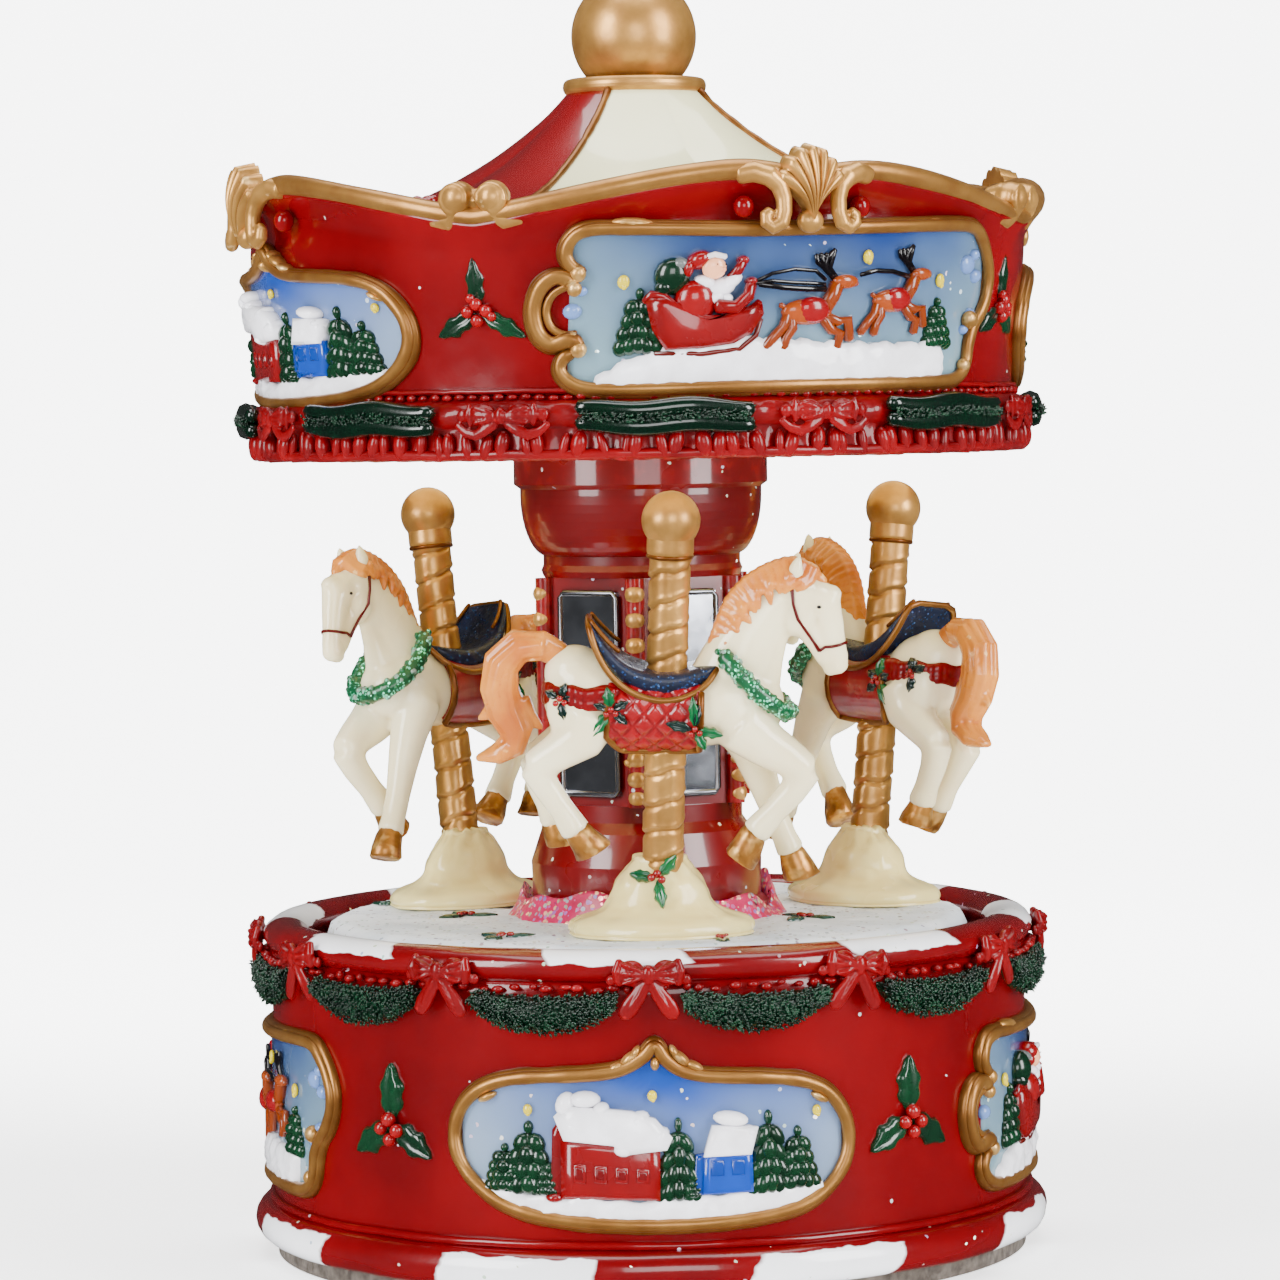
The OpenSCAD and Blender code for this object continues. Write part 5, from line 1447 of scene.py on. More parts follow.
def flatBow(size=1.0):
    # a wide gathered bow that lies flat on the band
    c = Clay()
    c.ball((0, -0.9, 0.1), (0.8, 0.75, 1.15), n=12)
    for side in (-1, 1):
        c.ball((side * 2.5, -0.55, 0.25), (1.9, 0.75, 1.45), n=14)
        for dz in (-0.7, 0, 0.7):
            c.rope([(side * 0.6, -1.1, dz * 0.3), (side * 1.8, -1.25, dz * 0.9 + 0.1),
                (side * 3.6, -1.1, dz * 1.5 + 0.2)], [0.2, 0.26, 0.22], n=6)
        c.rope([(side * 4.3, -0.4, 1.6), (side * 4.6, -0.7, 0.2), (side * 4.2, -0.4, -1.1)], 0.36, n=8)
        c.rope([(side * 0.8, -0.7, -0.9), (side * 2.4, -0.8, -1.9), (side * 3.6, -0.7, -2.4),
            (side * 5, -0.6, -2), (side * 6.2, -0.5, -1)], [0.7, 0.8, 0.75, 0.65, 0.5], n=8,
            up=(0, -1, 0), flat=0.55)
        c.ball((side * 5.4, -0.3, 0.2), (0.9, 0.55, 0.9), n=10)
    c.wrap(lambda v: tuple(size * a for a in v))
    return c


bandBows = Clay()
for k in range(8):
    one = flatBow(0.94)
    one.wrap(onWall(26 + 45 * k, 108, lambda z: band["radius"] + 0.3))
    bandBows.join(one)
sculpted = bandBows.piece("bandBows", ribbonRed, "carousel", keep=True)
sculpt(sculpted, 0.18, 2)
settle(sculpted, "carousel", (), "red_paint")

# the frieze wall flares out to the wave
crestAngle = canopy["shellAngle"] + 90
waveLow, waveRise = 0.9, canopy["crest"]


def waveZ(degrees):
    away = (degrees - crestAngle + 45) % 90 - 45
    c = 0.5 + 0.5 * cos(4 * math.radians(away))
    return lipLow + waveLow + waveRise * 1.08 * c ** 0.62 - 1.3 * math.exp(-(away / 6.5) ** 2)


def friezeSurface(degrees, t):
    top = waveZ(degrees) - 1.3
    z = friezeZ + 0.6 + (top - friezeZ - 0.6) * t
    high = (waveZ(degrees) - lipLow - waveLow) / waveRise
    r = canopy["wall"] + canopy["lean"] * t ** 1.5
    r += 1.2 * max(0, (t - 0.82) / 0.18) ** 2 - 0.9 * high * math.exp(-((t - 0.86) / 0.09) ** 2)
    return r, z


wallClay = Clay()
rows = 40


def friezePoint(i, j):
    degrees = 360 * i / 480
    t = j / rows
    r, z = friezeSurface(degrees, t)
    p = polar(r, degrees, z)
    r += 0.12 * noise(p * 0.13) + 0.04 * noise(p * 0.5)
    return tuple(polar(r, degrees, z))


wallClay.grid(friezePoint, 480, rows, True)
innerStart = len(wallClay.verts)
wallClay.grid(lambda i, j: tuple(polar(canopy["inner"] + 0.5
    + (0.8 + 2.0 * max(0, (j / 8 - 0.6) / 0.4) if j else 0), 360 * i / 480,
    friezeZ + 0.4 + (waveZ(360 * i / 480) - 1.2 - friezeZ - 0.4) * j / 8)), 480, 8, True, flip=True)
for i in range(480):
    n = (i + 1) % 480
    top = rows * 480
    wallClay.faces.append((top + i, top + n, innerStart + 8 * 480 + n, innerStart + 8 * 480 + i))
    wallClay.faces.append((n, i, innerStart + i, innerStart + n))
wallClay.piece("friezeSkin", redLacquer, "carousel", ("frieze_wall",), "red_paint")

wave = {"thick": 1.3, "out": 51.4}
lip = Clay()
path, girth = [], []
for i in range(480):
    degrees = 360 * i / 480
    high = (waveZ(degrees) - lipLow - waveLow) / waveRise
    path.append(polar(wave["out"] + 0.35 * high, degrees, waveZ(degrees) - 0.4))
    girth.append(wave["thick"] * (0.98 + 0.1 * noise(Vector((cos(degrees / 57.3) * 5,
        sin(degrees / 57.3) * 5, 1)))))
lip.rope(path, girth, n=16, up=lambda p: Vector((p.x, p.y, 0)).normalized() * 0.5 + Vector((0, 0, 1)),
    closed=True)
inside = [polar(wave["out"] - 2.1, 360 * i / 480, waveZ(360 * i / 480) - 0.9) for i in range(480)]
lip.rope(inside, 1.1, n=10, up=(0, 0, 1), closed=True)
lip.piece("waveLip", goldPaint, "carousel", ("frieze_lip",), "gold_paint")


shell = {"flutes": 7, "reach": 9.4, "foot": -4.9, "squeeze": 0.62, "height": 135.4, "radius": 53.0}


def shellFan():
    # a scallop that fans out upwards from a narrow foot; x across, z up, facing negative y
    c = Clay()
    columns, layers = 70, 20

    def place(i, j):
        s = i / columns * 2 - 1
        t = j / layers
        angle = s * 1.0 * (0.3 + 0.7 * t ** 0.7)
        ridge = abs(cos(pi * shell["flutes"] / 2 * s)) ** 0.8
        reach = shell["reach"] * t * (1 - 0.1 * s * s) + (0.6 * ridge - 0.3) * max(0, (t - 0.75) / 0.25)
        bulge = 1.9 * sin(pi * min(1, t * 0.9 + 0.12)) ** 0.7 * (1 - 0.7 * s * s) + 0.5
        return sin(angle) * reach * shell["squeeze"], -bulge - 0.85 * ridge * t, shell["foot"] + cos(
            angle) * reach

    def front(i, j):
        x, y, z = place(i, j)
        return (x, 1.0 if i in (0, columns) or j in (0, layers) else y, z)
    c.grid(front, columns, layers)
    c.grid(lambda i, j: (place(i, j)[0], 1, place(i, j)[2]), columns, layers, flip=True)
    return c


def shellCurls():
    # the wave's two ends roll inwards under the scallop
    c = Clay()
    for side in (-1, 1):
        c.rope([(side * 8.6, 0.2, 1), (side * 6.8, -0.3, 1.3), (side * 5, -0.9, 0.7),
            (side * 3.9, -1.2, -0.5), (side * 3.5, -1.4, -2), (side * 3.5, -1.5, -3.6),
            (side * 3.9, -1.6, -4.9), (side * 4.9, -1.5, -5.4), (side * 5.7, -1.4, -4.8),
            (side * 5.7, -1.3, -3.9), (side * 5.1, -1.3, -3.5)],
            [1.2, 1.3, 1.25, 1.1, 1, 0.95, 0.95, 0.9, 0.85, 0.8, 0.75], n=14)
    c.ball((0, -0.9, -4.6), (1.7, 1.3, 1.5), n=16)
    return c


fans, curls, redBeads = Clay(), Clay(), Clay()
for k in range(4):
    degrees = crestAngle + 90 * k
    fan = shellFan()
    fan.wrap(onWall(degrees, shell["height"], lambda z: shell["radius"]))
    fans.join(fan)
    curl = shellCurls()
    curl.wrap(onWall(degrees, shell["height"], lambda z: shell["radius"] - 0.8))
    curls.join(curl)
    for side in (-1, 1):
        redBeads.ball(tuple(polar(51.4, degrees + side * 8.6, 132.6)), (1.3, 1.3, 1.4), n=16)
fans.piece("scallopShells", goldPaint, "carousel", ("shells",), "gold_paint")
curlObj = curls.piece("shellCurls", goldPaint, "carousel", keep=True)
sculpt(curlObj, 0.2, 2)
settle(curlObj, "carousel", (), "gold_paint")
redBeads.piece("crestBeads", redLacquer, "carousel", (), "red_paint")


def scrollClay():
    # two rolled volutes side by side at a low point of the wave, with round buds
    c = Clay()
    for side in (-1, 1):
        c.ball((side * 2.25, -0.3, 2.6), (2, 2.2, 2.1), n=24)
        c.rope([(side * 7.5, 0.4, 1.6), (side * 5.6, 0.2, 0.2), (side * 3.7, 0, 0),
            (side * 2.4, -0.2, 0.8)], [1, 1.15, 1.3, 1.4], n=14)
        c.rope([(side * 2.2, 2.6, 2.8), (side * 2.25, 0.8, 3.2), (side * 2.25, -0.2, 2.7)],
            [1.3, 1.5, 1.6], n=12)
        turnPath = []
        for k in range(15):
            a = -0.5 * pi + k / 14 * 1.6 * pi
            turnPath.append((side * (2.3 + 1.55 * cos(a)), -1.3 - 0.03 * k, 2.5 + 1.55 * sin(a)))
        c.rope(turnPath, [0.62 - 0.02 * k for k in range(15)], n=8)
    c.rope([(0, 0.4, 3.4), (0, -0.4, 2.2), (0, 0.2, 0.8)], [0.7, 0.9, 0.7], n=10)
    return c


scrolls = Clay()
for k in range(4):
    one = scrollClay()
    one.wrap(onWall(crestAngle + 45 + 90 * k, 131.6, lambda z: 51.2))
    scrolls.join(one)
scrollObj = scrolls.piece("rolledScrolls", goldPaint, "carousel", keep=True)
sculpt(scrollObj, 0.2, 2)
settle(scrollObj, "carousel", (), "gold_paint")

friezeHolly = Clay()
for k in range(4):
    one = sprig([(-2, 6.2, 3, dullGreen), (118, 6.4, 2.9, leafGreen), (-118, 6, 3.1, dullGreen)],
        [(0, 0.9, 0.8, berryRed), (-1.2, 0, 0.8, berryRed), (1.2, 0.1, 0.8, berryRed),
        (0, -1.1, 0.8, berryRed), (-0.7, 1.6, 0.6, berryRed), (1.9, -0.6, 0.6, berryRed)], 1)
    one.wrap(onWall(crestAngle + 45 + 90 * k - 1, 120.6, wallRadiusFrieze))
    friezeHolly.join(one)
friezeHolly.piece("friezeHolly", handPaint, "carousel", (), "garland_paint")

# roof: a tent of four hollow flanks, two red and two cream

roof = {"rib": 0.55, "hollow": 0.1}
roofCurve = [(8.6, 149.6), (12, 146.3), (17, 142.6), (21.8, 139.7), (28, 136.6), (34, 134.5),
    (42, 132.4), (49.6, 131.3)]
roofLine = smoothLine(roofCurve, 6)


def roofPoint(degrees, t):
    p = roofLine[0]
    f = t * (len(roofLine) - 1)
    k = min(int(f), len(roofLine) - 2)
    p = roofLine[k] + (roofLine[k + 1] - roofLine[k]) * (f - k)
    corner = math.radians(degrees - crestAngle - 45)
    sag = 1 - abs(cos(2 * corner))
    r = p[0] * (1 - roof["hollow"] * sag * sin(pi * min(1, t * 1.02)))
    return r, p[1] - 0.5 * sag * sin(pi * t)


def roofColour(v):
    degrees = (math.degrees(math.atan2(v[1], v[0])) + 90 - crestAngle - 45) % 360
    edge = 1.2 * noise(Vector(v) * 0.3)
    isRed = 180 + edge < degrees < 270 + edge or edge < degrees < 90 + edge
    if isRed:
        return mixed(rgb(124, 0, 8), rgb(150, 14, 22), 0.35 * max(0, noise(Vector(v) * 0.07)))
    return roofCream


roofClay = Clay()
roofClay.grid(lambda i, j: tuple(polar(*(lambda rz: (rz[0], 360 * i / 360,
    rz[1]))(roofPoint(360 * i / 360, j / 48)))), 360, 48, True, colour=roofColour, flip=True)
under = len(roofClay.verts)
roofClay.grid(lambda i, j: tuple(polar(*(lambda rz: (rz[0] - 0.1, 360 * i / 360,
    rz[1] - 1.7))(roofPoint(360 * i / 360, j / 12)))), 360, 12, True, colour=roofCream)
for i in range(360):
    n = (i + 1) % 360
    roofClay.faces.append((i, n, under + n, under + i))
    roofClay.faces.append((48 * 360 + n, 48 * 360 + i, under + 12 * 360 + i, under + 12 * 360 + n))
roofClay.piece("tentRoof", roofPaint, "carousel", ("roof",), "red_paint")
ribs = Clay()
for k in range(4):
    degrees = crestAngle + 45 + 90 * k
    points = []
    for j in range(40):
        r, z = roofPoint(degrees, 0.02 + 0.95 * j / 39)
        points.append(polar(r, degrees, z + 0.15))
    ribs.rope(points, [roof["rib"] * (0.9 + 0.3 * noise(Vector((j * 0.5, k, 0)))) for j in range(40)], n=8)
ribs.piece("roofRibs", goldPaint, "carousel", (), "gold_paint")

relief = Clay()
for k, (mid, wide) in enumerate(((-50, 17), (130, 17), (-92, 15), (88, 15))):
    for i in range(44):
        s = i / 43 * 2 - 1
        for side in (-1, 0, 1):
            rnd = random.Random(i * 3 + side + 100 * k)
            degrees = mid + s * wide + rnd.uniform(-0.6, 0.6)
            t = 0.66 + 0.14 * (1 - s * s) + side * 0.022
            r, z = roofPoint(degrees, t)
            p = polar(r, degrees, z + 0.35 + (0.25 if side == 0 else 0))
            relief.ball(tuple(p), rnd.uniform(0.5, 0.85), rgb(128, 0, 8), n=8)
for mid in (24, 204):
    for x, rise, size in ((0, 0, 1.2), (-2.2, 0.6, 1), (2.2, 0.7, 1), (-4.2, 1.8, 0.8), (4.2, 1.9, 0.8),
            (0, 1.6, 0.9), (-1.2, -0.9, 0.7), (1.3, -0.9, 0.7)):
        r, z = roofPoint(mid + x * 1.6, 0.74 - rise * 0.03)
        relief.ball(tuple(polar(r, mid + x * 1.6, z + 0.2)), (size, size, size * 0.7), roofCream, n=10)
relief.piece("roofRelief", handPaint, "carousel", (), "red_paint")
print("canopy built")


# horses: one sculpt, x forwards, negative y outwards, z from the middle of the barrel

horseUp = 28.6


def bodyClay():
    c = Clay()
    c.ball((-9.8, 0, 1.6), (5.6, 5.3, 5.6), n=28)
    c.ball((-11.4, 0, 4.2), (3.9, 3.9, 3.6), n=24)
    c.rope([(-9.8, 0, 1.4), (-5, 0, 0.2), (0, 0, -0.3), (5, 0, 0.4), (8, 0, 1.4)],
        [5.2, 4.8, 4.7, 4.9, 5], n=28)
    c.ball((8.4, 0, 1.2), (5.2, 5, 5.2), n=28)
    c.ball((11.2, 0, 0.8), (3.5, 3.9, 4), n=24)
    # neck and head
    c.rope([(7.6, 0, 2.8), (8.7, 0, 6.2), (10.4, 0, 9.8), (12.6, 0, 12.9), (14.8, 0, 15)],
        [5.4, 4.7, 4, 3.3, 2.7], n=24, up=(0, 1, 0), flat=0.74)
    c.rope([(11, 0, 4), (12.2, 0, 7.4), (13.2, 0, 10.4)], [3.2, 2.3, 1.9], n=20, up=(0, 1, 0), flat=0.8)
    c.ball((15.8, 0, 14.6), (3.3, 2.45, 3.3), n=24)
    c.ball((16, 0, 11.9), (2.3, 2.15, 2.5), n=24)
    c.rope([(17.6, 0, 14.9), (19.2, 0, 13.6), (19.9, 0, 11), (20.5, 0, 8.4), (21, 0, 6.6)],
        [2.3, 2.2, 1.85, 1.6, 1.5], n=20, up=(0, 1, 0), flat=0.86)
    c.ball((19.9, 0, 14.9), (1.5, 1.5, 1.2), n=16)
    c.rope([(17, 0, 11.2), (18.6, 0, 8.8), (19.8, 0, 6.6)], [1.9, 1.5, 1.3], n=16, up=(0, 1, 0), flat=0.95)
    c.ball((20.9, 0, 6), (1.55, 1.5, 1.25), n=18)
    c.ball((20.2, 0, 5.4), (1, 1.1, 0.8), n=14)
    for side in (-1, 1):
        c.ball((16.1, side * 1.1, 12.2), (2.1, 1.35, 2.3), n=20)
        c.ball((18.5, side * 1.55, 13.6), (0.9, 0.5, 0.6), n=12)
        c.rope([(15.6, side * 1.3, 16.6), (15.5, side * 1.7, 18.2), (15.9, side * 1.8, 19.8)],
            [1.15, 1, 0.35], n=12)
        # thigh and gaskin
        c.ball((-10.6, side * 2.5, 0.2), (4.3, 3.1, 4.6), n=22)
        c.rope([(-9.4, side * 2.6, -0.6), (-10.6, side * 2.9, -3.4), (-13.6, side * 2.8, -5.4),
            (-16.2, side * 2.5, -7.2)], [3.8, 3.1, 2.4, 2.05], n=18)
    c.rope([(-16.2, -2.5, -7.2), (-14.6, -2.5, -9.8), (-12.6, -2.5, -12.6), (-10.9, -2.5, -15.2)],
        [2.05, 1.75, 1.6, 1.95], n=18)
    c.rope([(-16.2, 2.5, -7.2), (-15.6, 2.4, -10.2), (-14.4, 2.3, -12.8), (-13.6, 2.3, -15)],
        [2.05, 1.75, 1.6, 1.9], n=18)
    # the near foreleg is folded and the far one reaches down
    c.ball((9, -2.2, -0.6), (3.8, 3.2, 4.2), n=20)
    c.ball((8.6, 2.2, -0.8), (3.7, 3.1, 4.2), n=20)
    c.rope([(9.4, -2.6, -1.4), (12.6, -2.9, -3.8), (15.4, -2.9, -5.4), (17.4, -2.8, -6.9)],
        [3.6, 2.9, 2.4, 2.1], n=18)
    c.rope([(17.3, -2.8, -6.9), (15.8, -2.7, -9.6), (13.6, -2.6, -12.2), (11.4, -2.6, -14.8)],
        [2.1, 1.8, 1.6, 1.9], n=18)
    c.rope([(8.6, 2.4, -1.6), (10.8, 2.5, -5.6), (12.4, 2.4, -9.6)], [3.3, 2.5, 2], n=18)
    c.rope([(12.4, 2.4, -9.6), (13.8, 2.4, -13.2), (15.2, 2.4, -16.4), (16, 2.4, -18)],
        [2, 1.65, 1.6, 1.85], n=18)
    return c


def hoofClay():
    # blunt, slightly faceted hooves that point the way the leg goes
    c = Clay()
    for top, tip, wide in (((-11, -2.5, -14.8), (-9, -2.5, -18.2), 2.5),
            ((-13.7, 2.3, -14.6), (-13, 2.3, -18), 2.4), ((11.6, -2.6, -14.4), (9, -2.6, -18.2), 2.35),
            ((15.9, 2.4, -17.6), (17, 2.4, -21.6), 2.4)):
        a, b = Vector(top), Vector(tip)
        along = (b - a).normalized()
        forward = Vector((1, 0, 0)) - along * along.x
        forward.normalize()
        across = along.cross(forward)
        verts = []
        rings = ((0, 0.72, 0), (0.22, 0.86, 0.05), (0.62, 1, 0.16), (0.95, 1.1, 0.24), (1, 1, 0.24))
        for t, girth, ahead in rings:
            for k in range(11):
                ang = tau * k / 11 + 0.2
                r = wide * 0.86 * girth * (1 + 0.06 * sin(k * 2.7 + t * 5 + top[0]))
                verts.append(a + (b - a) * t + forward * (r * cos(ang) + ahead * wide) + across
                    * (r * 0.92 * sin(ang)))
        faces = []
        for j in range(len(rings) - 1):
            for k in range(11):
                n = (k + 1) % 11
                faces.append((j * 11 + k, j * 11 + n, (j + 1) * 11 + n, (j + 1) * 11 + k))
        verts += [a, b + forward * 0.24 * wide]
        last = (len(rings) - 1) * 11
        for k in range(11):
            n = (k + 1) % 11
            faces += [(n, k, len(verts) - 2), (last + k, last + n, len(verts) - 1)]
        c.add(verts, faces)
    return c


def hairClay():
    c = Clay()
    tail = [(-13.2, 0, 6.4), (-15.6, 0, 7.6), (-18.4, 0, 7.4), (-20.4, 0, 5.2), (-20.8, 0, 2.2),
        (-20, 0, -0.8), (-18.6, 0, -3.2), (-18.9, 0, -5), (-20.8, 0, -6.2), (-23.4, 0, -6.8)]
    line = [Vector((p[0], 0, p[2])) for p in tail]
    c.rope(line, [1.6, 1.9, 2.1, 2.2, 2.2, 2.3, 2.2, 1.8, 1.3, 0.4], n=18, up=(0, 1, 0), flat=0.82)
    c.rope([(-20.2, 0, 0.8), (-21.6, 0, -0.8), (-23.2, 0, -1.8)], [1.8, 1.2, 0.3], n=14, up=(0, 1, 0),
        flat=0.8)
    c.rope([(-18.4, 0, 0.2), (-17, 0, -1.6), (-15.4, 0, -2.8)], [1.8, 1.1, 0.35], n=14, up=(0, 1, 0),
        flat=0.8)
    for k in range(6):
        s = (k - 2.5) / 2.5
        for side in (-1, 1):
            strand = []
            for i, p in enumerate(line[1:]):
                ahead = line[min(i + 2, len(line) - 1)] - line[i]
                out = Vector((ahead.z, 0, -ahead.x)).normalized()
                w = (1.75, 2, 2, 2, 2.1, 2, 1.6, 1, 0.2)[i] * (s + 0.16 * sin(i * 1.3 + k)) * 0.84
                strand.append(p + out * w + Vector((0, side * (1.75 * math.sqrt(max(0, 1 - s * s * 0.8))
                    * (0.3 if i == 8 else 1)), 0)))
            c.rope(strand, [0.45, 0.58, 0.6, 0.6, 0.6, 0.6, 0.52, 0.42, 0.2], n=8)
    # the mane: ridged locks along the crest, and a forelock between the ears
    crest = smoothLine([(17.6, 17.4), (15.2, 18.4), (12.4, 17.6), (9.8, 15.9), (7.8, 13.4), (6.6, 10.4),
        (5.7, 7.6), (5, 5.6)], 6)
    count = len(crest)
    for k in range(0, count - 1, 2):
        p, q = crest[k], crest[min(k + 1, count - 1)]
        along = (q - p).normalized()
        inward = Vector((-along.y, along.x))
        if inward.dot(Vector((13, 9)) - p) < 0:
            inward = -inward
        reach = 2.6 + 0.9 * sin(k * 1.9)
        for side in (-1, 1):
            lock = [(p.x - inward.x * 0.6, side * 0.4, p.y - inward.y * 0.6),
                (p.x + inward.x * 0.7, side * 1.5, p.y + inward.y * 0.7 - 0.1),
                (p.x + inward.x * reach * 0.7 + along.x * 0.5, side * 2.25,
                p.y + inward.y * reach * 0.7 + along.y * 0.5),
                (p.x + inward.x * reach + along.x * 0.9, side * 2.4, p.y + inward.y * reach + along.y * 0.9)]
            c.rope(lock, [0.8, 0.72, 0.6, 0.25], n=8)
        c.ball((p.x - inward.x * 0.3, 0, p.y - inward.y * 0.3), (0.9, 1.3, 0.9), n=10)
    c.rope([(16.2, 0, 17.6), (17.8, 0, 17.4), (18.9, 0, 16.4), (19.4, 0, 15.2)], [1, 0.9, 0.7, 0.3], n=10)
    return c


def barrelRadius(x):
    # half width of the barrel where the tack lies on it
    return 4.95 + 0.3 * min(1, abs(x) / 9)


def saddleClay():
    c, gilt = Clay(), Clay()
    lowLine = smoothLine([(-9.8, 10.6), (-8.6, 7.4), (-6.8, 4.8), (-4.2, 2.9), (-0.8, 2), (2.4, 2.5),
        (4.6, 3.8), (6, 5.6)], 5)
    highLine = smoothLine([(-9.6, 11.2), (-8.2, 9.6), (-6.4, 7.9), (-4.2, 6.6), (-1, 5.9), (2, 6),
        (4.2, 6.2), (6.1, 6.2)], 5)
    rowCount = len(lowLine) - 1

    def width(j):
        t = j / rowCount
        return 5.35 * (sin(pi * (0.13 + 0.77 * t))) ** 0.45

    def point(i, j):
        a = tau * i / 32
        lo, hi = lowLine[j], highLine[j]
        mid, half = (lo + hi) / 2, (hi - lo) / 2
        s, h = cos(a), sin(a)
        y = width(j) * math.copysign(abs(s) ** 0.62, s)
        up = math.copysign(abs(h) ** 0.75, h)
        dip = -0.9 * (1 - s * s) * (1 if h > 0 else 0) * sin(pi * j / rowCount)
        return (mid.x + half.x * up, y, mid.y + half.y * up + dip)
    c.grid(point, 32, rowCount, True)
    for j in (0, rowCount):
        p = (lowLine[j] + highLine[j]) / 2
        c.closeEnd(32, j, (p.x, 0, p.y))
    edge = [(p.x, -width(j) - 0.05, p.y - 0.1) for j, p in enumerate(lowLine)]
    ends = [(6.4, y, 5.9) for y in (-2.2, 0, 2.2)]
    far = [(x, -y, z) for x, y, z in edge[::-1]]
    back = [(-9.9, y, 11) for y in (2.2, 0, -2.2)]
    gilt.rope(edge + ends + far + back, 0.42, n=10, closed=True)
    giltEdge = [(p.x, -width(j) * 0.8, p.y + 0.1) for j, p in enumerate(highLine)][:12]
    gilt.rope(giltEdge, 0.28, n=8)
    gilt.rope([(x, -y, z) for x, y, z in giltEdge], 0.28, n=8)
    return c, gilt


def wrapTack(x, down, proud):
    # a point on the barrel: down is measured along the flank from its widest line, in millimetres
    r = barrelRadius(x) + proud
    a = down / barrelRadius(x)
    return (x, -r * cos(a), 0.2 - r * sin(a))


def blanketClay():
    quilt, plain, trim = Clay(), Clay(), Clay()

    def lowAt(x):
        return 5.9 - 0.9 * ((x + 1.6) / 5.8) ** 2 - 2.4 * max(0, (-x - 5.4) / 2.2)

    def sheet(c, quilted):
        def point(i, j):
            x = -7.4 + 11.6 * i / 64
            t = j / 44
            down = -3.6 + (lowAt(x) + 3.6) * min(1, max(0, (t - 0.02) / 0.96))
            proud = 0.55
            if quilted:
                u, v = (x + down) * 0.36, (x - down) * 0.36
                line = min(abs(u - round(u)), abs(v - round(v)))
                proud += 0.34 * min(1, line / 0.22) - 0.12
            if j in (0, 44) or i in (0, 64):
                proud = -0.4
            return wrapTack(x, down, proud)
        c.grid(point, 64, 44, flip=True)
    sheet(quilt, True)
    sheet(plain, False)
    hem = []
    for k in range(41):
        x = -7.4 + 11.6 * k / 40
        hem.append(wrapTack(x, lowAt(x), 0.55))
    left = [wrapTack(-7.4, d, 0.5) for d in (-3, -1.5, 0, 1.2)]
    right = [wrapTack(4.2, d, 0.5) for d in (3.6, 2, 0.4, -1.2, -2.6)]
    trim.rope(left + hem + right, 0.46, n=10)
    return quilt, plain, trim


def beltClay():
    c = Clay()

    def edgeOf(t):
        # runs from the saddle cloth, round the rump and back
        a = (t * 2 - 1) * math.radians(118)
        straight = max(0, abs(a) - pi / 2)
        r = 5.75
        x = -9.8 - r * cos(min(abs(a), pi / 2)) + straight * 7.5
        y = math.copysign(r * sin(min(abs(a), pi / 2)) - 0.15 * straight, a)
        return x, y

    def point(i, j):
        x, y = edgeOf(i / 120)
        v = j / 10
        z = 0.2 + 3.3 * v + 0.15 * sin(i * 0.3)
        fold = 0.2 * abs(sin(v * pi * 2)) + 0.1 * abs(sin(i * 0.55))
        out = Vector((x + 9.8 if x < -9.8 else 0, y)).normalized()
        proud = -0.8 if j in (0, 10) or i in (0, 120) else fold - 0.15
        bend = -0.25 * abs(v - 0.45) * 2
        return (x + out.x * (proud + bend), y + out.y * (proud + bend), z)
    c.grid(point, 120, 10, flip=True)
    return c


def wreathLine():
    return [Vector(p) for p in ((6.9, -3.3, 7.4), (8.6, -4.7, 5.6), (10.6, -5, 3.6), (12.6, -4.5, 1.9),
        (14.2, -3.2, 0.7), (15.2, -1.2, 0.1), (15.2, 1.2, 0.1), (14.2, 3.2, 0.7), (12.6, 4.5, 1.9),
        (10.6, 5, 3.6), (8.6, 4.7, 5.6), (6.9, 3.3, 7.4))]


def tackHolly():
    c = Clay()
    bright, dark = rgb(0, 84, 42), rgb(10, 32, 28)
    leaves = {(-6.9, 0.6): [(-10, 2.6, 1.9, bright), (62, 2.2, 1.5, dark), (128, 2.4, 1.5, dark),
        (215, 3.8, 2, bright), (-70, 2, 1.3, dark)], (3.5, -1.6): [(-5, 3.9, 1.6, bright),
        (10, 3, 1.2, dark), (-78, 3.4, 1.8, dark), (100, 3.3, 1.7, bright), (150, 2.6, 1.6, bright)],
        (-13.2, 1.7): [(20, 1.9, 1.4, dark), (80, 1.8, 1.2, dark), (165, 2.4, 1.5, dark),
        (-60, 1.8, 1.3, dark)],}
    for (x, z), group in leaves.items():
        one = sprig(group, [(0, 0.2, 0.4, berryRed), (0.6, -0.3, 0.38, berryRed),
            (-0.5, -0.4, 0.38, berryRed)])
        r = 5.5 if x > -12 else 4.9
        bend = Clay()
        bend.join(one)
        bend.verts = [(px, py - (0.0 if x > -12 else -0.06 * (px + 1.5) ** 2 * 0.6), pz) for px, py,
            pz in bend.verts]
        c.join(bend, shift(x, -r, z))
        if x < 0:
            c.join(bend, turn(0) @ shift(x, r, z) @ stretch(1, -1, 1))
    for side in (-1, 1):
        c.ball((18.5, side * 2.02, 13.5), (0.3, 0.14, 0.22), black, n=10)
    return c


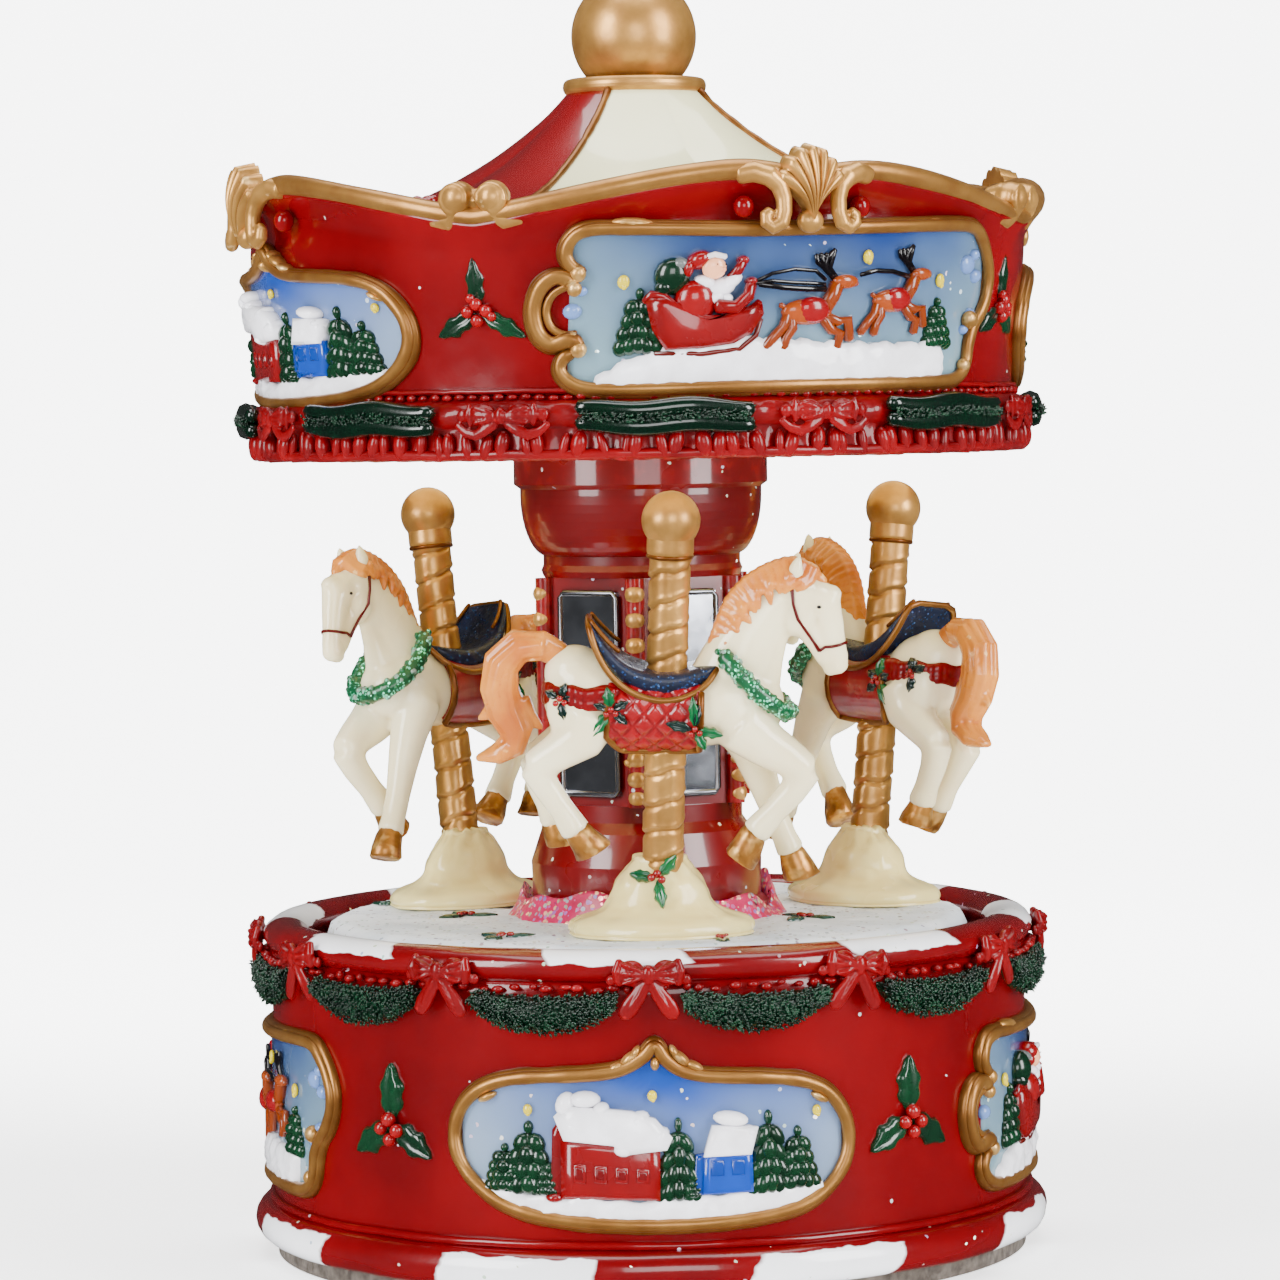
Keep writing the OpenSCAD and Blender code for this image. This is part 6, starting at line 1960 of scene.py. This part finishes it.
def bridleClay(surface):
    c = Clay()
    for side in (-1, 1):
        def on(x, z):
            hit = surface.ray_cast(Vector((x, side * 9, z)), Vector((0, -side, 0)))
            return (x, hit[0].y + side * 0.1, z) if hit[0] else (x, side * 1.5, z)
        c.rope([on(15.1, 15.6), on(15.3, 13.8), on(15.9, 12), on(17, 10.4), on(18, 9), on(18.7, 7.9)],
            [0.26, 0.2, 0.22, 0.2, 0.2, 0.26], n=8)
        c.rope([on(18.7, 7.9), on(19.4, 8.4), on(20.3, 8.5), on(21.2, 8.7)] + [(22, side * 0.5, 8.9),
            (22.1, 0, 8.9)], 0.2, n=8)
    return c


horseSkin = bodyClay().piece("horseSkinModel", ivoryResin, "carousel", keep=True)
sculpt(horseSkin, 0.36, 8)
hairModel = hairClay().piece("horseHairModel", amberResin, "carousel", keep=True)
sculpt(hairModel, 0.24, 1)
print("horse sculpted:", len(horseSkin.data.vertices), "and", len(hairModel.data.vertices), "points")

skinTree = BVHTree.FromPolygons([v.co / mm for v in horseSkin.data.vertices],
    [p.vertices[:] for p in horseSkin.data.polygons])
saddleModel, saddleGilt = saddleClay()
quiltSheet, plainSheet, blanketTrim = blanketClay()
mirrorY = stretch(1, -1, 1)
tackRed, tackGold, blanketSides = Clay(), Clay(), Clay()
tackRed.join(beltClay())
tackRed.join(bridleClay(skinTree))
blanketSides.join(quiltSheet)
blanketSides.join(plainSheet, mirrorY)
tackGold.join(saddleGilt)
tackGold.join(blanketTrim)
tackGold.join(blanketTrim, mirrorY)
wreathPath = [Vector((p[0], p[1], p[2])) for p in wreathLine()]
hooves, hollyBits = hoofClay(), tackHolly()


def placedMesh(model, name, place, replaces, slot):
    mesh = model.data.copy()
    mesh.name = name
    mesh.transform(Matrix.Scale(1 / mm, 4))
    mesh.transform(place)
    mesh.transform(Matrix.Scale(mm, 4))
    obj = bpy.data.objects.new(name, mesh)
    show(obj)
    return settle(obj, "carousel", replaces, slot)


for k in range(3):
    number = k + 1
    place = placeOf(k) @ shift(0, 0, horseUp)
    placedMesh(horseSkin, f"horseSkin_{number}", place, (f"horse_{number}",), "ivory_resin")
    placedMesh(hairModel, f"maneAndTail_{number}", place, (), "ivory_resin")
    for label, clay, material, slot in (("hooves", hooves, hoofGold, "gold_paint"),
            ("saddle", saddleModel, saddleGlitter, "dark_paint"),
            ("tackGold", tackGold, goldPaint, "gold_paint"),
            ("tackRed", tackRed, ribbonRed, "red_paint"), ("blanket", blanketSides, quiltRed,
            "red_paint"), ("tackHolly", hollyBits, handPaint, "garland_paint")):
        moved(clay, place).piece(f"{label}_{number}", material, "carousel", (), slot)
    wreath = Clay()
    line = [tuple(place @ p) for p in wreathPath]
    dense = linePoints(line, 0.6)
    girths = [1.05 + 0.3 * noise(Vector((j * 0.9, number, 0))) for j in range(len(dense))]
    wreath.rope(dense, girths, n=14)
    for j, p in enumerate(dense):
        rnd = random.Random(j + 50 * number)
        for _ in range(5):
            d = Vector((rnd.uniform(-1, 1), rnd.uniform(-1, 1), rnd.uniform(-1, 1))).normalized() * 0.95
            wreath.ball(tuple(Vector(p) + d), rnd.uniform(0.32, 0.55), n=6)
    wreath.piece(f"chestWreath_{number}", wreathGlitter, "carousel", (), "garland_paint")
for model in (horseSkin, hairModel):
    bpy.data.objects.remove(model)
print("horses built")


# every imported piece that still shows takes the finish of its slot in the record
slotFinishes = {"red_paint": columnRed, "dark_paint": insideRed, "felt": feltGrey,
    "cover_plastic": coverBlack, "steel": steel, "brass": brass, "zinc": zinc,
    "garland_paint": firPaint, "scene_resin": skyResin, "snow_paint": snowPaint, "mirror": darkMirror,
    "cream_paint": creamPaint, "gold_paint": goldPaint, "ivory_resin": ivoryResin, "plated_steel": nickel,}
for row in frame["record"]["subparts"]:
    packed = bpy.data.objects[row["node"]]
    packed.data.materials.clear()
    packed.data.materials.append(slotFinishes[row["material_slot"]])
bpy.data.objects.remove(needleShape)

# floor, light and camera

floorMat = bpy.data.materials.new("floorWhite")
floorMat.use_nodes = True
floorTree = floorMat.node_tree
# the floor shows from above only, so the underside can be looked at
rearSide = newNode(floorTree, "ShaderNodeNewGeometry").outputs["Backfacing"]
fill(floorTree, floorTree.nodes["Principled BSDF"].inputs,
    {"Base Color": (0.92, 0.92, 0.925), "Roughness": 0.7, "Emission Color": (1, 1, 1),
    "Emission Strength": 1.5, "Alpha": maths(floorTree, "SUBTRACT", 1.0, rearSide)})
sweep = Clay()
floorDrop = 0.1  # keeps the floor just clear of the felt
profile = [(-900, 0), (500, 0)] + [(500 + 400 * sin(t * pi / 20),
    400 - 400 * cos(t * pi / 20)) for t in range(1, 11)] + [(900, 1500)]
sweep.grid(lambda i, j: (-1500 + 3000 * i, profile[j][0], profile[j][1] - floorDrop), 1, len(profile) - 1)
floor = sweep.piece("studioFloor", floorMat, "base", keep=True)
floor.visible_glossy = False


def lamp(name, place, size, power, target=(0, 0, 0.09), sizeY=None):
    data = bpy.data.lights.new(name, "AREA")
    data.energy = power
    data.size = size
    if sizeY:
        data.shape = "RECTANGLE"
        data.size_y = sizeY
    obj = bpy.data.objects.new(name, data)
    obj.location = place
    obj.rotation_euler = (Vector(target) - Vector(place)).to_track_quat("-Z", "Y").to_euler()
    show(obj)


lamp("softboxLeft", (-0.6, -0.5, 0.36), 0.3, 10.5, sizeY=0.6)
lamp("softboxRight", (0.62, -0.42, 0.34), 0.3, 10, sizeY=0.6)
lamp("overhead", (0, 0.05, 0.8), 0.7, 9)
lamp("frontFill", (0.1, -0.95, 0.25), 0.4, 3.6)
lamp("backSweep", (0, 0.4, 0.55), 1, 22, target=(0, 0.9, 0.25))

world = bpy.data.worlds.new("studioWorld")
bpy.context.scene.world = world
world.use_nodes = True
# a pale wall behind everything, that lights the piece only a little
seen = newNode(world.node_tree, "ShaderNodeLightPath").outputs["Is Camera Ray"]
fill(world.node_tree, world.node_tree.nodes["Background"].inputs,
    {"Color": (1, 1, 1), "Strength": maths(world.node_tree, "MULTIPLY_ADD", seen, 2.6, 0.05)})
view = {"from": (-0.0004, -0.633, 0.1097), "to": (-0.0004, 0.0, 0.0785), "lens": 136.9, "sensor": 36.0,
    "roll": -0.9}
cameraData = bpy.data.cameras.new("camera")
cameraData.lens = view["lens"]
cameraData.sensor_width = view["sensor"]
camera = bpy.data.objects.new("camera", cameraData)
camera.location = view["from"]
aim = (Vector(view["to"]) - Vector(view["from"])).to_track_quat("-Z", "Y")
camera.rotation_euler = (aim.to_matrix() @ Matrix.Rotation(math.radians(view["roll"]), 3, "Z")).to_euler()
show(camera)
bpy.context.scene.camera = camera
